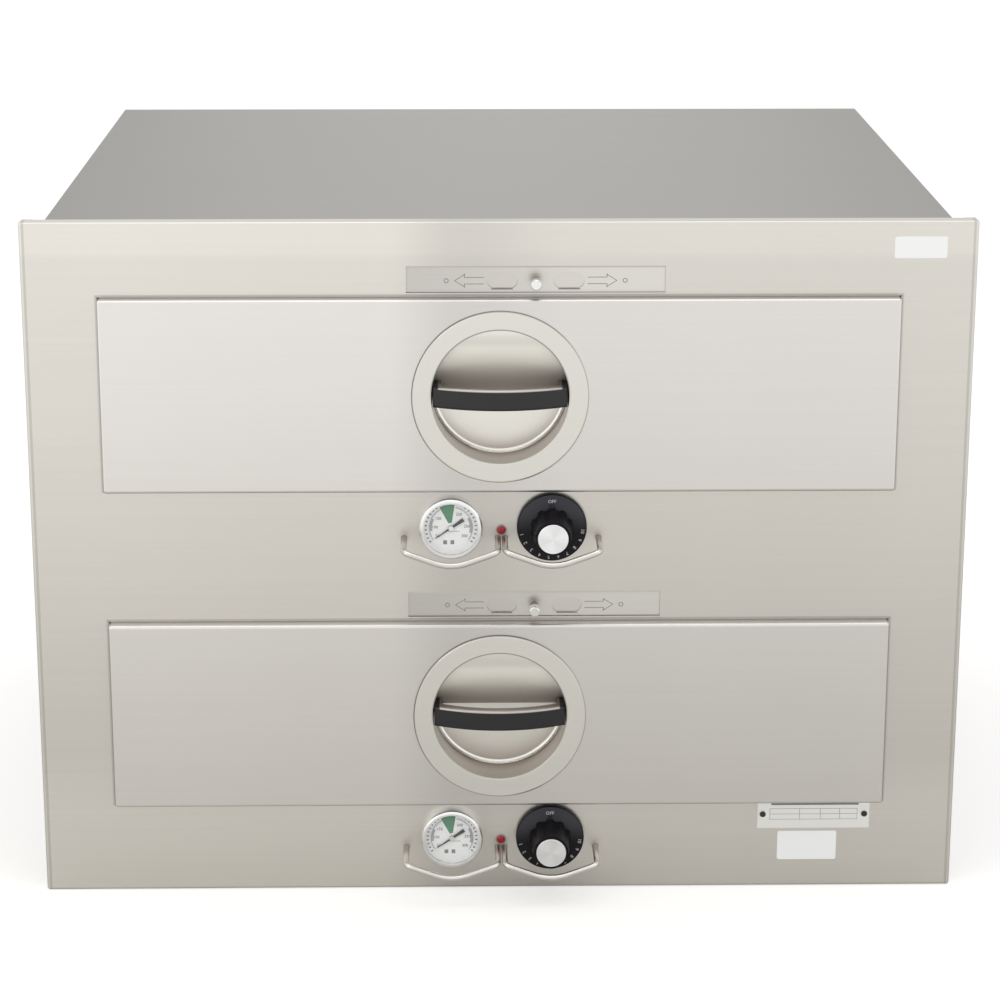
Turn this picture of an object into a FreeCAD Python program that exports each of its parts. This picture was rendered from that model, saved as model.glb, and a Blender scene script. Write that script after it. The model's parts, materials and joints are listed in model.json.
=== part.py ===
import FreeCAD, Part
import math
import os

Vec = FreeCAD.Vector

# Two-tier built-in warming drawer, in millimetres.
# It is drawn with the front of the face sheet at y = 0, y growing backwards, x to the viewer's right
# and z up from the base. At the end every piece is shifted along Y so that the origin is the middle of
# the base of the whole object.

# Clearances
seat = 0.3            # gap between pieces that are seated but not pressed together
run_fit = 0.05        # radial gap of a turning shaft in its bore
slide_fit = 0.4       # gap between two sheet pieces that slide on each other
hole_room = 0.15      # radial gap of a screw, wire or tube in its hole

# Sheet thicknesses
sheet_t = 1.2         # face sheet and drawer skins
wrap_t = 1.0          # body top and sides
base_t = 1.2          # cabinet bottom
back_t = 1.2          # rear panel
liner_t = 0.9         # heated cavities
overcut = 1.0         # how far a cutter passes a surface that it opens
frame_t = 1.5         # drawer frames
pan_t = 0.9           # pans

# Drawer fronts
drawer_w = 620.0
drawer_h = 155.0
drawer_gap = 0.8      # slit between a drawer front and the face sheet
drawer_proud = 10.0   # how far a drawer front stands ahead of the face sheet
skin_bend = 2.5       # outer radius of a drawer skin's folded edges
cover_t = 1.0         # inner cover of a drawer front

# Round pull
ring_d = 138.0
ring_proud = 1.8
ring_round = 1.6      # rounding of the ring's outer edge
ring_lip = 0.5        # rounding of the ring's inner edge
open_d = 107.0        # opening of the recess
pull_t = 1.0          # sheet of the dish
recess_depth = 32.0   # from the drawer front's plane to the dish's floor
roll_drop = 55.0      # height of the rolled upper half of the dish
dish_round = 3.0      # inner bend between the dish's floor and its wall
dish_room = 4.0       # space between the dish and the inner cover
grip_h = 17.0
grip_t = 9.0
grip_bow = 12.0       # how far the middle of the grip stands ahead of its ends
grip_leg = 6.5
grip_clear = 0.5
grip_front_round = 2.5
grip_back_round = 1.5

# Vent damper above each drawer
vent_x = 27.5
vent_w = 200.0
vent_h = 23.5         # visible height of the notch above the drawer opening
vent_travel = 14.0
vent_lap = 6.0        # hidden lap of the damper strip behind the face sheet
vent_strip_t = 1.0
vent_plate_t = 1.0
vent_flange = 8.2     # upper edge of the vent plate that is welded to the face sheet
vent_end_room = 1.5
slot_w = 24.0
slot_h = 12.5
slot_offset = 25.7    # from the pin to the centre of each oblong slot
slot_land = 1.0       # sheet left between open and closed slots
pin_d = 8.5
pin_reach = 16.0
pin_head = 8.0
pin_neck_d = 6.4
pin_tail_d = 4.0
pin_round = 1.1       # rounding of the pin head's front edge

# Heated cavities
liner_side_room = 1.0
liner_sill = 1.0      # step from the drawer opening down to the cavity floor
liner_top_room = 0.5
liner_flange = 12.0
side_insulation = 36.2
top_insulation = 15.8
floor_insulation = 12.0
rear_insulation = 34.0
insulation_front = 110.0   # blankets above and below the controls start this far back
wiring_space = 21.4

# Slides
drawer_travel = 380.0
slide_hold = 20.0     # how much longer a slide member is than the travel
slide_h = 45.0
slide_total = 12.7    # thickness of a closed slide
slide_t = 1.2
slide_start_room = 8.0
slide_rear_room = 48.0

# Drawer frame and pan
frame_drop = 10.0     # from the top of a drawer front to its frame
frame_h = 60.0
pan_w = 528.0
pan_d = 325.0
pan_deep = 100.0
pan_rim = 10.0
pan_taper = 14.0      # how much narrower each side is at the floor
pan_corner = 42.0
pan_floor_round = 12.0
pan_front_room = 10.0
pan_drop_room = 1.5

# Face sheet and body
flange_overlap = 18.0
face_return = 12.0
face_bend = 2.0
face_lip = 10.0       # the side returns end in lips that seat on the cabinet round the cut-out
return_step = 1.0     # how much shallower the top and bottom returns are than those lips
sill_h = 76.1         # from the lower drawer front down to the base
top_step = 0.5        # gap under the face sheet's top return
wrap_flange = 12.0
wrap_rear_flange = 15.0
base_flange = 22.0

# Controls below each drawer
gauge_x = -38.5
bezel_d = 50.0
bezel_proud = 9.0
bezel_round = 2.5
bezel_lip = 1.2
window_d = 43.0
lens_t = 1.5
case_d = 46.6
case_wall = 0.8
case_deep = 20.0
case_back = 1.2
case_ledge = 2.5
dial_y = -2.9
dial_t = 0.6
needle_tip = 15.0
needle_tail = 12.0
needle_w = 1.5
needle_t = 0.5
needle_hub_d = 4.0
needle_point = 0.4    # width of the needle's tip
needle_lift = 0.8
arbor_reach = 4.0     # how far the arbor goes behind the dial's front
needle_angle = 215.0
arbor_d = 2.0
gauge_room = 4.6      # from the cavity floor sheet to the gauge case
control_below = 15.3  # from the gauge case to the next cavity's top sheet

lamp_drop = 3.0
lamp_d = 6.6
lamp_proud = 2.2
lamp_flange_d = 8.6
lamp_flange_t = 0.8
lamp_body_d = 7.8
lamp_body_deep = 24.0
lamp_lens_deep = 6.0  # how far the lens reaches into the lamp body
lamp_lens_round = 1.6

knob_skirt_d = 55.0
knob_skirt_t = 4.0
knob_standoff = 1.0
knob_grip_d = 33.6
knob_grip_front_d = 28.0
knob_grip_h = 28.0
knob_flutes = 10
knob_flute_d = 8.4
knob_flute_out = 2.2
knob_cap_d = 23.8
knob_cap_t = 1.2
knob_round = 1.0
knob_cap_round = 0.4
shaft_d = 6.0
shaft_in_knob = 14.0
shaft_in_body = 14.0
bush_d = 10.0
bush_proud = 0.6
thermostat_w = 44.0
thermostat_h = 36.0
thermostat_deep = 30.0

capillary_d = 2.0
capillary_turn = 60.0  # how far back the capillaries turn up
capillary_bend = 10.0
socket_d = 8.0
socket_len = 8.0
bulb_d = 8.0
bulb_len = 80.0
bulb_start = 85.0
bulb_round = 2.0

# Wire guards
wire_d = 4.8
guard_span = 74.0
guard_gap = 0.7       # between the two neighbouring legs
guard_front_room = 0.8
guard_sag = 11.0
guard_corner = 6.0
guard_apex = 38.0
guard_tail = 8.0      # leg end behind the face sheet

# Heating elements
element_d = 8.0
element_lift = 14.0
element_half_w = 230.0
element_lead = 50.0
element_front = 190.0
element_rear = 430.0
element_bend = 36.0
element_tail = 10.0
clip_t = 1.5
clip_w = 16.0
clip_over = 4.0

# Rear wiring
terminal_x = 220.0
terminal_z = 46.0
terminal_open_w = 110.0
terminal_open_h = 58.0
terminal_lap = 14.0
conduit_d = 22.2
block_w = 60.0
block_d = 16.0
block_h = 20.0
block_ways = 3
block_hole_d = 6.0
block_room = 4.0
screw_d = 4.0
screw_head_d = 7.2
screw_head_h = 2.0
screw_len = 8.0
screw_round = 1.0     # rounding of a screw head
screw_rows = 4
screw_margin = 40.0

# Plate on the face
plate_w = 91.0
plate_h = 24.5
plate_t = 0.8
plate_right = 67.7    # from the face's right edge
plate_bottom = 51.1   # from the base
rivet_d = 5.0
rivet_shank_d = 3.0
rivet_proud = 1.2
rivet_inset = 4.2
rivet_round = 0.95    # rounding of a rivet's dome

# Sizes that follow from the ones above
opening_half = drawer_w / 2 + drawer_gap
liner_half = opening_half + liner_side_room
body_half = liner_half + liner_t + seat + side_insulation + seat + wrap_t
face_w = 2 * (body_half + flange_overlap)

vent_pocket = vent_strip_t + 2 * slide_fit
liner_head = drawer_gap + vent_h + vent_lap + seat + vent_flange + liner_top_room
case_r = case_d / 2
control_drop = drawer_gap + liner_sill + liner_t + gauge_room + case_r
between_drawers = control_drop + case_r + control_below + liner_t + liner_head
tier_pitch = drawer_h + between_drawers
drawer_drop = sheet_t + top_step + wrap_t + seat + top_insulation + seat + liner_t + liner_head
face_h = drawer_drop + tier_pitch + drawer_h + sill_h
body_top = face_h - sheet_t - top_step

front_thick = recess_depth + pull_t + dish_room + cover_t
front_y = -drawer_proud
front_back_y = front_y + front_thick
slide_len = drawer_travel + slide_hold
slide_y = front_back_y + slide_start_room
cavity_y = slide_y + slide_len + slide_rear_room
blanket_y = cavity_y + liner_t + seat
rear_in_y = blanket_y + rear_insulation + wiring_space
rear_out_y = rear_in_y + back_t
cover_out_y = rear_out_y + back_t

open_r = open_d / 2
dish_r = open_r + pull_t
roll_angle = 2 * math.atan(recess_depth / roll_drop)
roll_r = roll_drop / math.sin(roll_angle)

knob_x = gauge_x + guard_span + wire_d + guard_gap
lamp_x = (gauge_x + knob_x) / 2
skirt_y = -knob_standoff
knob_grip_y = skirt_y - knob_skirt_t
knob_front_y = knob_grip_y - knob_grip_h
guard_y = knob_front_y - knob_cap_t - guard_front_room
guard_drop = lamp_drop + lamp_flange_d / 2 + wire_d / 2 + seat
bore_r = case_r - case_wall

front_most = guard_y - wire_d / 2
back_most = cover_out_y + screw_head_h
middle_y = (front_most + back_most) / 2

tiers = {"upper": face_h - drawer_drop, "lower": face_h - drawer_drop - tier_pitch}
sides = (-1, 1)
pieces = {}


def box(x, y, z):
    """Block between three pairs of limits."""
    return Part.makeBox(x[1] - x[0], y[1] - y[0], z[1] - z[0], Vec(x[0], y[0], z[0]))


def rod(diameter, x, z, y):
    """Round bar along Y between two limits."""
    return Part.makeCylinder(diameter / 2, y[1] - y[0], Vec(x, y[0], z), Vec(0, 1, 0))


def joined(shapes):
    """One solid out of pieces that touch."""
    first = shapes[0]
    return first.fuse(shapes[1:]).removeSplitter() if len(shapes) > 1 else first


def same(first, second):
    """Whether two lengths are alike within a tolerance that is far below any sheet's thickness."""
    return abs(first - second) < sheet_t / 20


def rounded(shape, radius, wanted):
    """Round the edges whose middle point passes a test."""
    edges = [edge for edge in shape.Edges if wanted(edge.CenterOfMass, edge)]
    return shape.makeFillet(radius, edges)


def front_rounded(shape, radius):
    """Round the edges of a turned piece that lie in its foremost plane."""
    front = shape.BoundBox.YMin
    return rounded(shape, radius, lambda middle, edge: edge.BoundBox.YMax < front + radius / 2)


def back_rounded(shape, radius):
    """Round the edges of a turned piece that lie in its rearmost plane."""
    back = shape.BoundBox.YMax
    return rounded(shape, radius, lambda middle, edge: edge.BoundBox.YMin > back - radius / 2)


def prism(points, direction):
    """Solid from a closed outline of straight edges, pushed along a direction."""
    outline = Part.makePolygon([Vec(*point) for point in points + points[:1]])
    return Part.Face(outline).extrude(Vec(*direction))


def mirrored(x):
    """The two limits of x, smaller first."""
    return (min(x), max(x))


def tube(points, bends, diameter):
    """Round wire along straight runs joined by tangent arcs, one bend radius for each inner point."""
    corners = [Vec(*point) for point in points]
    edges = []
    start = corners[0]
    for before, corner, after, radius in zip(corners, corners[1:], corners[2:], bends):
        inward = (corner - before).normalize()
        outward = (after - corner).normalize()
        turn = inward.getAngle(outward)
        setback = radius * math.tan(turn / 2)
        first = corner - inward * setback
        last = corner + outward * setback
        to_centre = (outward - inward).normalize()
        reach = radius / math.cos(turn / 2) - radius
        middle = corner + to_centre * reach
        edges.append(Part.LineSegment(start, first).toShape())
        edges.append(Part.Arc(first, middle, last).toShape())
        start = last
    edges.append(Part.LineSegment(start, corners[-1]).toShape())
    path = Part.Wire(edges)
    heading = corners[1] - corners[0]
    section = Part.Wire(Part.makeCircle(diameter / 2, corners[0], heading))
    return path.makePipeShell([section], True, True)


def folded_tray(x, y, z, wall, bend, inner_bend):
    """Sheet tray with its floor towards the viewer, open at the back, with rounded folds."""
    def is_fold(middle, edge):
        on_front = same(middle.y, y[0])
        at_corner = same(edge.BoundBox.YLength, y[1] - y[0])
        return on_front or at_corner

    def is_inner_fold(middle, edge):
        on_floor = same(middle.y, y[0] + wall)
        at_corner = same(edge.BoundBox.YLength, y[1] - y[0])
        return on_floor or at_corner

    outer = rounded(box(x, y, z), bend, is_fold)
    hollow = box((x[0] + wall, x[1] - wall), (y[0] + wall, y[1] + wall), (z[0] + wall, z[1] - wall))
    if inner_bend > 0:
        hollow = rounded(hollow, inner_bend, is_inner_fold)
    return outer.cut(hollow)


def opening_limits(top):
    """Height limits of the drawer opening below a given drawer top."""
    return (top - drawer_h - drawer_gap, top + drawer_gap)


def liner_limits(top):
    """Height limits of the inside of a heated cavity."""
    return (top - drawer_h - drawer_gap - liner_sill, top + liner_head)


def control_z(top):
    """Height of the middle of the gauge and the knob."""
    return top - drawer_h - control_drop


def vent_z(top):
    """Height of the middle of the damper window."""
    return top + drawer_gap + vent_h / 2


def guard_centres():
    """Where the two wire guards of a tier are centred."""
    return (gauge_x, knob_x)


def guard_legs(centre):
    """Where the two legs of a guard go through the face sheet."""
    return (centre - guard_span / 2, centre + guard_span / 2)


def plate_limits():
    """Limits of the plate at the lower right of the face."""
    right = face_w / 2 - plate_right
    return (right - plate_w, right), (plate_bottom, plate_bottom + plate_h)


def rivet_places():
    """Middle of each rivet of the plate."""
    x, z = plate_limits()
    return [(place, (z[0] + z[1]) / 2) for place in (x[0] + rivet_inset, x[1] - rivet_inset)]


def front_panel():
    """Face sheet with folded returns, side lips, drawer openings, vent notches and control holes."""
    half = face_w / 2
    panel = folded_tray((-half, half), (0, face_return), (0, face_h), sheet_t, face_bend, 0)
    lips = []
    for side in sides:
        reach = mirrored((side * (half - sheet_t), side * (half - face_lip)))
        lips.append(box(reach, (face_return - sheet_t, face_return), (sheet_t, face_h - sheet_t)))
    panel = joined([panel] + lips)
    through = (-sheet_t, 2 * sheet_t)
    between_lips = (face_lip - half, half - face_lip)
    behind = (face_return - return_step, face_return + overcut)
    cuts = [box(between_lips, behind, (-overcut, face_h + overcut))]
    for top in tiers.values():
        low, high = opening_limits(top)
        middle = control_z(top)
        notch_half = vent_w / 2
        cuts.append(box((-opening_half, opening_half), through, (low, high)))
        cuts.append(box((vent_x - notch_half, vent_x + notch_half), through, (high - seat, high + vent_h)))
        cuts.append(rod(case_d + 2 * seat, gauge_x, middle, through))
        cuts.append(rod(bush_d + 2 * seat, knob_x, middle, through))
        cuts.append(rod(lamp_body_d + 2 * hole_room, lamp_x, middle - lamp_drop, through))
        for centre in guard_centres():
            for leg in guard_legs(centre):
                cuts.append(rod(wire_d + 2 * hole_room, leg, middle - guard_drop, through))
    for x, z in rivet_places():
        cuts.append(rod(rivet_shank_d + 2 * hole_room, x, z, through))
    return panel.cut(cuts)


def back_screw_places():
    """Screws along both sides of the rear panel."""
    x = body_half - wrap_rear_flange / 2
    step = (body_top - 2 * screw_margin) / (screw_rows - 1)
    return [(side * x, screw_margin + row * step) for side in sides for row in range(screw_rows)]


def cover_screw_places():
    """Screws at the corners of the terminal cover."""
    x = (terminal_open_w + terminal_lap) / 2
    z = (terminal_open_h + terminal_lap) / 2
    return [(terminal_x + i * x, terminal_z + k * z) for i in sides for k in sides]


def cabinet_wrapper():
    """Body top and sides with folded edges at the front and the rear."""
    inner = body_half - wrap_t
    low = base_t + seat
    y = (sheet_t, rear_in_y)
    shell = [box((-body_half, body_half), y, (body_top - wrap_t, body_top))]
    for side in sides:
        wall = mirrored((side * inner, side * body_half))
        front_edge = mirrored((side * inner, side * (inner - wrap_flange)))
        rear_edge = mirrored((side * inner, side * (inner - wrap_rear_flange)))
        height = (low, body_top - wrap_t)
        shell.append(box(wall, y, height))
        shell.append(box(front_edge, (sheet_t, sheet_t + wrap_t), (low + face_return, height[1])))
        shell.append(box(rear_edge, (rear_in_y - wrap_t, rear_in_y), height))
    top_edge = (body_top - wrap_rear_flange, body_top - wrap_t)
    shell.append(box((-inner, inner), (rear_in_y - wrap_t, rear_in_y), top_edge))
    wrapper = joined(shell)
    holes = [rod(screw_d + 2 * hole_room, x, z, (rear_in_y - 2 * wrap_t, rear_in_y + wrap_t))
             for x, z in back_screw_places()]
    return wrapper.cut(holes)


def cabinet_bottom():
    """Floor tray of the body with upturned side edges inside the body's walls."""
    y = (face_return + seat, rear_in_y)
    inner = body_half - wrap_t
    tray = [box((-body_half, body_half), y, (0, base_t))]
    for side in sides:
        edge = mirrored((side * inner, side * (inner - base_t)))
        tray.append(box(edge, (y[0], y[1] - wrap_t - seat), (base_t, base_flange)))
    return joined(tray)


def back_panel():
    """Rear panel with the wiring opening and screw holes."""
    panel = box((-body_half, body_half), (rear_in_y, rear_out_y), (0, body_top))
    deep = (rear_in_y - back_t, rear_out_y + back_t)
    half_w = terminal_open_w / 2
    half_h = terminal_open_h / 2
    cuts = [box((terminal_x - half_w, terminal_x + half_w), deep, (terminal_z - half_h, terminal_z + half_h))]
    for x, z in back_screw_places() + cover_screw_places():
        cuts.append(rod(screw_d + 2 * hole_room, x, z, deep))
    return panel.cut(cuts)


def terminal_cover():
    """Cover of the wiring opening with its conduit hole."""
    half_w = terminal_open_w / 2 + terminal_lap
    half_h = terminal_open_h / 2 + terminal_lap
    y = (rear_out_y, cover_out_y)
    cover = box((terminal_x - half_w, terminal_x + half_w), y, (terminal_z - half_h, terminal_z + half_h))
    deep = (y[0] - back_t, y[1] + back_t)
    cuts = [rod(conduit_d, terminal_x, terminal_z, deep)]
    cuts += [rod(screw_d + 2 * hole_room, x, z, deep) for x, z in cover_screw_places()]
    return cover.cut(cuts)


def terminal_block():
    """Screw terminal block on the cabinet floor inside the wiring opening."""
    y = (rear_in_y - block_room - block_d, rear_in_y - block_room)
    block = box((terminal_x - block_w / 2, terminal_x + block_w / 2), y, (base_t, base_t + block_h))
    pitch = block_w / block_ways
    cuts = []
    for way in range(block_ways):
        x = terminal_x + (way - (block_ways - 1) / 2) * pitch
        cuts.append(rod(block_hole_d, x, base_t + block_h / 2, (y[0] - overcut, y[1] + overcut)))
        depth = block_h / 2
        cuts.append(Part.makeCylinder(block_hole_d / 2, depth, Vec(x, (y[0] + y[1]) / 2, base_t + depth)))
    return block.cut(cuts)


def screw(x, z, under_head):
    """Pan-head screw driven from behind."""
    shank = rod(screw_d, x, z, (under_head - screw_len, under_head + screw_head_h / 2))
    head = rod(screw_head_d, x, z, (under_head, under_head + screw_head_h))
    head = rounded(head, screw_round, lambda middle, edge: same(middle.y, under_head + screw_head_h))
    return joined([shank, head])


def cabinet_screws():
    """Screws of the rear panel and of the terminal cover."""
    screws = [screw(x, z, rear_out_y) for x, z in back_screw_places()]
    screws += [screw(x, z, cover_out_y) for x, z in cover_screw_places()]
    return Part.makeCompound(screws)


def element_points(top):
    """Corners of the heating element's loop, from one rear lead to the other."""
    z = liner_limits(top)[0] + element_lift
    tail = blanket_y + rear_insulation + element_tail
    half = [(element_lead, tail, z), (element_lead, element_rear, z),
            (element_half_w, element_rear, z), (element_half_w, element_front, z)]
    return half + [(-x, y, height) for x, y, height in reversed(half)]


def heating_element(top):
    """Sheathed tube that runs once round under the pan and out through the rear wall."""
    points = element_points(top)
    return tube(points, [element_bend] * (len(points) - 2), element_d)


def clip_places():
    """Where clips carry the element: x, y and whether the tube runs along Y there."""
    middle = (element_front + element_rear) / 2
    places = [(side * element_half_w, middle + shift, True) for side in sides
              for shift in (-element_bend, element_bend)]
    places += [(side * element_half_w / 2, element_front, False) for side in sides]
    places += [(side * (element_lead + element_half_w) / 2, element_rear, False) for side in sides]
    return places


def element_clips():
    """Upright clips on both cavity floors, each with a hole that the element passes through."""
    clips = []
    for top in tiers.values():
        floor = liner_limits(top)[0]
        centre = floor + element_lift
        height = (floor, centre + element_d / 2 + clip_over)
        for x, y, along_y in clip_places():
            half_w = clip_w / 2
            half_t = clip_t / 2
            if along_y:
                plate = box((x - half_w, x + half_w), (y - half_t, y + half_t), height)
                hole = rod(element_d + 2 * hole_room, x, centre, (y - clip_w, y + clip_w))
            else:
                plate = box((x - half_t, x + half_t), (y - half_w, y + half_w), height)
                radius = element_d / 2 + hole_room
                hole = Part.makeCylinder(radius, 2 * clip_w, Vec(x - clip_w, y, centre), Vec(1, 0, 0))
            clips.append(plate.cut(hole))
    return Part.makeCompound(clips)


def liner(top):
    """Heated cavity, open at the front, with side flanges behind the face sheet."""
    low, high = liner_limits(top)
    outer_half = liner_half + liner_t
    outer = box((-outer_half, outer_half), (sheet_t, cavity_y + liner_t), (low - liner_t, high + liner_t))
    hollow = box((-liner_half, liner_half), (0, cavity_y), (low, high))
    flanges = [box(mirrored((side * outer_half, side * (outer_half + liner_flange))),
                   (sheet_t, sheet_t + liner_t), (low, high)) for side in sides]
    shell = joined([outer.cut(hollow)] + flanges)
    cuts = []
    for side in sides:
        lead_z = low + element_lift
        through = (cavity_y - overcut, cavity_y + liner_t + overcut)
        cuts.append(rod(element_d + 2 * hole_room, side * element_lead, lead_z, through))
    for x in (gauge_x, knob_x):
        under = Vec(x, capillary_turn, low - liner_t - overcut)
        cuts.append(Part.makeCylinder(capillary_d, liner_t + 2 * overcut, under))
    return shell.cut(cuts)


def insulation(top, upper_thick, upper_front):
    """Blanket on both sides, over, under and behind a heated cavity."""
    low, high = liner_limits(top)
    inner_half = liner_half + liner_t + seat
    outer_half = inner_half + side_insulation
    bottom = low - liner_t - seat
    ceiling = high + liner_t + seat
    side_front = sheet_t + wrap_t + face_return
    slabs = [box((-outer_half, outer_half), (blanket_y, blanket_y + rear_insulation),
                 (bottom - floor_insulation, ceiling + upper_thick))]
    for side in sides:
        wall = mirrored((side * inner_half, side * outer_half))
        slabs.append(box(wall, (side_front, blanket_y), (bottom, ceiling)))
    x = (-outer_half, outer_half)
    slabs.append(box(x, (upper_front, blanket_y), (ceiling, ceiling + upper_thick)))
    slabs.append(box(x, (insulation_front, blanket_y), (bottom - floor_insulation, bottom)))
    blanket = joined(slabs)
    through = (blanket_y - overcut, blanket_y + rear_insulation + overcut)
    holes = [rod(element_d + 2 * seat, side * element_lead, low + element_lift, through) for side in sides]
    return blanket.cut(holes)


def oblong(x, z, width, height, y):
    """Slot-shaped cutter with round ends, along X."""
    straight = (width - height) / 2
    block = box((x - straight, x + straight), y, (z - height / 2, z + height / 2))
    ends = [rod(height, x + side * straight, z, y) for side in sides]
    return joined([block] + ends)


def vent_slide(top):
    """Damper strip with two oblong slots, hanging behind the notch in the face sheet."""
    half = vent_w / 2 + vent_travel + vent_lap
    y = (sheet_t + slide_fit, sheet_t + slide_fit + vent_strip_t)
    z = (top + drawer_gap + vent_plate_t + seat, top + drawer_gap + vent_h + vent_lap)
    strip = box((vent_x - half, vent_x + half), y, z)
    deep = (y[0] - overcut, y[1] + overcut)
    cuts = [oblong(vent_x + side * slot_offset, vent_z(top), slot_w, slot_h, deep) for side in sides]
    cuts.append(rod(pin_tail_d + 2 * run_fit, vent_x, vent_z(top), deep))
    return strip.cut(cuts)


def vent_pin(top):
    """Pin knob riveted into the damper strip."""
    y = sheet_t + slide_fit
    z = vent_z(top)
    head = rod(pin_d, vent_x, z, (-pin_reach, -pin_reach + pin_head))
    head = rounded(head, pin_round, lambda middle, edge: edge.Length > pin_d)
    neck = rod(pin_neck_d, vent_x, z, (-pin_reach + pin_head, y))
    tail = rod(pin_tail_d, vent_x, z, (y, y + vent_strip_t))
    return joined([head, neck, tail])


def vent_plate(top):
    """Fixed slotted plate behind the damper strip, with a lip under it and a welded edge above it."""
    half = vent_w / 2 + 2 * vent_travel + vent_lap + vent_end_room
    web_y = sheet_t + vent_pocket
    low = top + drawer_gap
    shelf = low + vent_h + vent_lap + seat
    x = (vent_x - half, vent_x + half)
    window = (vent_x - vent_w / 2 + seat, vent_x + vent_w / 2 - seat)
    web = box(x, (web_y, web_y + vent_plate_t), (low, shelf + vent_plate_t))
    step = box(x, (sheet_t, web_y), (shelf, shelf + vent_plate_t))
    edge = box(x, (sheet_t, sheet_t + vent_plate_t), (shelf, shelf + vent_flange))
    lip_behind = box(x, (sheet_t, web_y), (low, low + vent_plate_t))
    lip = box(window, (0, sheet_t), (low, low + vent_plate_t))
    ends = [box(mirrored((vent_x + side * half, vent_x + side * (half - vent_plate_t))),
                (sheet_t, web_y), (low, shelf)) for side in sides]
    plate = joined([web, step, edge, lip_behind, lip] + ends)
    open_w = vent_travel - 2 * slot_land
    offset = slot_offset + slot_w / 2 + slot_land + open_w / 2
    deep = (web_y - overcut, web_y + vent_plate_t + overcut)
    cuts = []
    for side in sides:
        x0 = vent_x + side * offset
        cuts.append(box((x0 - open_w / 2, x0 + open_w / 2), deep,
                        (vent_z(top) - slot_h / 2, vent_z(top) + slot_h / 2)))
    return plate.cut(cuts)


def gauge_case(top):
    """Bezel and cup of the gauge with its capillary and sensing bulb."""
    z = control_z(top)
    bezel = rod(bezel_d, gauge_x, z, (-bezel_proud, 0))
    bezel = front_rounded(bezel, bezel_round)
    cup = rod(case_d, gauge_x, z, (0, case_deep))
    socket = rod(socket_d, gauge_x, z, (case_deep, case_deep + socket_len))
    body = joined([bezel, cup, socket])
    bore_d = 2 * bore_r
    body = body.cut([rod(window_d, gauge_x, z, (-bezel_proud - overcut, 0)),
                     rod(bore_d, gauge_x, z, (-bezel_proud + bezel_lip, dial_y)),
                     rod(bore_d - 2 * case_ledge, gauge_x, z, (dial_y, case_deep - case_back))])
    return joined([body, sensing_line(gauge_x, z, case_deep + socket_len, top)])


def sensing_line(x, z, start_y, top):
    """Capillary that turns up through the cavity floor, and the bulb that lies on that floor."""
    bulb_z = liner_limits(top)[0] + bulb_d / 2 + seat
    points = [(x, start_y - overcut, z), (x, capillary_turn, z),
              (x, capillary_turn, bulb_z), (x, bulb_start + overcut, bulb_z)]
    line = tube(points, [capillary_bend, (bulb_d - capillary_d) / 2], capillary_d)
    bulb = rod(bulb_d, x, bulb_z, (bulb_start, bulb_start + bulb_len))
    bulb = rounded(bulb, bulb_round, lambda middle, edge: edge.BoundBox.YLength < bulb_round)
    return joined([line, bulb])


def gauge_dial(top):
    """White dial disc on the ledge in the case."""
    z = control_z(top)
    disc = rod(2 * (bore_r - seat), gauge_x, z, (dial_y - dial_t, dial_y))
    return disc.cut(rod(arbor_d + 2 * run_fit, gauge_x, z, (dial_y - overcut, dial_y + overcut)))


def gauge_lens(top):
    """Clear disc behind the bezel's lip."""
    back = -bezel_proud + bezel_lip + lens_t
    return rod(2 * (bore_r - seat), gauge_x, control_z(top), (back - lens_t, back))


def gauge_needle(top):
    """Needle on its arbor, pointing at the cold end of the dial."""
    z = control_z(top)
    back = dial_y - dial_t - needle_lift
    upper_edge = [(-needle_tail, needle_w), (0, needle_w / 2), (needle_tip, needle_point / 2)]
    lower_edge = [(x, -height) for x, height in reversed(upper_edge)]
    blade = prism([(x, back, height) for x, height in lower_edge + upper_edge], (0, -needle_t, 0))
    hub = rod(needle_hub_d, 0, 0, (back - 2 * needle_t, back))
    arbor = rod(arbor_d, 0, 0, (back, dial_y + arbor_reach))
    needle = joined([blade, hub, arbor])
    needle.rotate(Vec(0, 0, 0), Vec(0, -1, 0), needle_angle)
    needle.translate(Vec(gauge_x, 0, z))
    return needle


def pilot_body(top):
    """Lamp body with a thin flange on the face sheet."""
    z = control_z(top) - lamp_drop
    barrel = rod(lamp_body_d, lamp_x, z, (0, lamp_body_deep))
    flange = rod(lamp_flange_d, lamp_x, z, (-lamp_flange_t, 0))
    return joined([barrel, flange]).cut(rod(lamp_d, lamp_x, z, (-overcut, lamp_body_deep / 2)))


def pilot_lens(top):
    """Red lens with a domed front, seated in the lamp body."""
    z = control_z(top) - lamp_drop
    lens = rod(lamp_d - 2 * run_fit, lamp_x, z, (-lamp_proud, lamp_lens_deep))
    return front_rounded(lens, lamp_lens_round)


def thermostat(top):
    """Thermostat body with its threaded bush, capillary and bulb."""
    z = control_z(top)
    y = (sheet_t, sheet_t + thermostat_deep)
    body = box((knob_x - thermostat_w / 2, knob_x + thermostat_w / 2), y,
               (z - thermostat_h / 2, z + thermostat_h / 2))
    bush = rod(bush_d, knob_x, z, (-bush_proud, sheet_t + overcut))
    socket = rod(socket_d, knob_x, z, (y[1], y[1] + socket_len))
    unit = joined([body, bush, socket])
    unit = unit.cut(rod(shaft_d + 2 * run_fit, knob_x, z, (-overcut, sheet_t + shaft_in_body + seat)))
    return joined([unit, sensing_line(knob_x, z, y[1] + socket_len, top)])


def thermostat_shaft(top):
    """Turning spindle of the thermostat, from inside its body into the knob."""
    return rod(shaft_d, knob_x, control_z(top), (skirt_y - shaft_in_knob, sheet_t + shaft_in_body))


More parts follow.
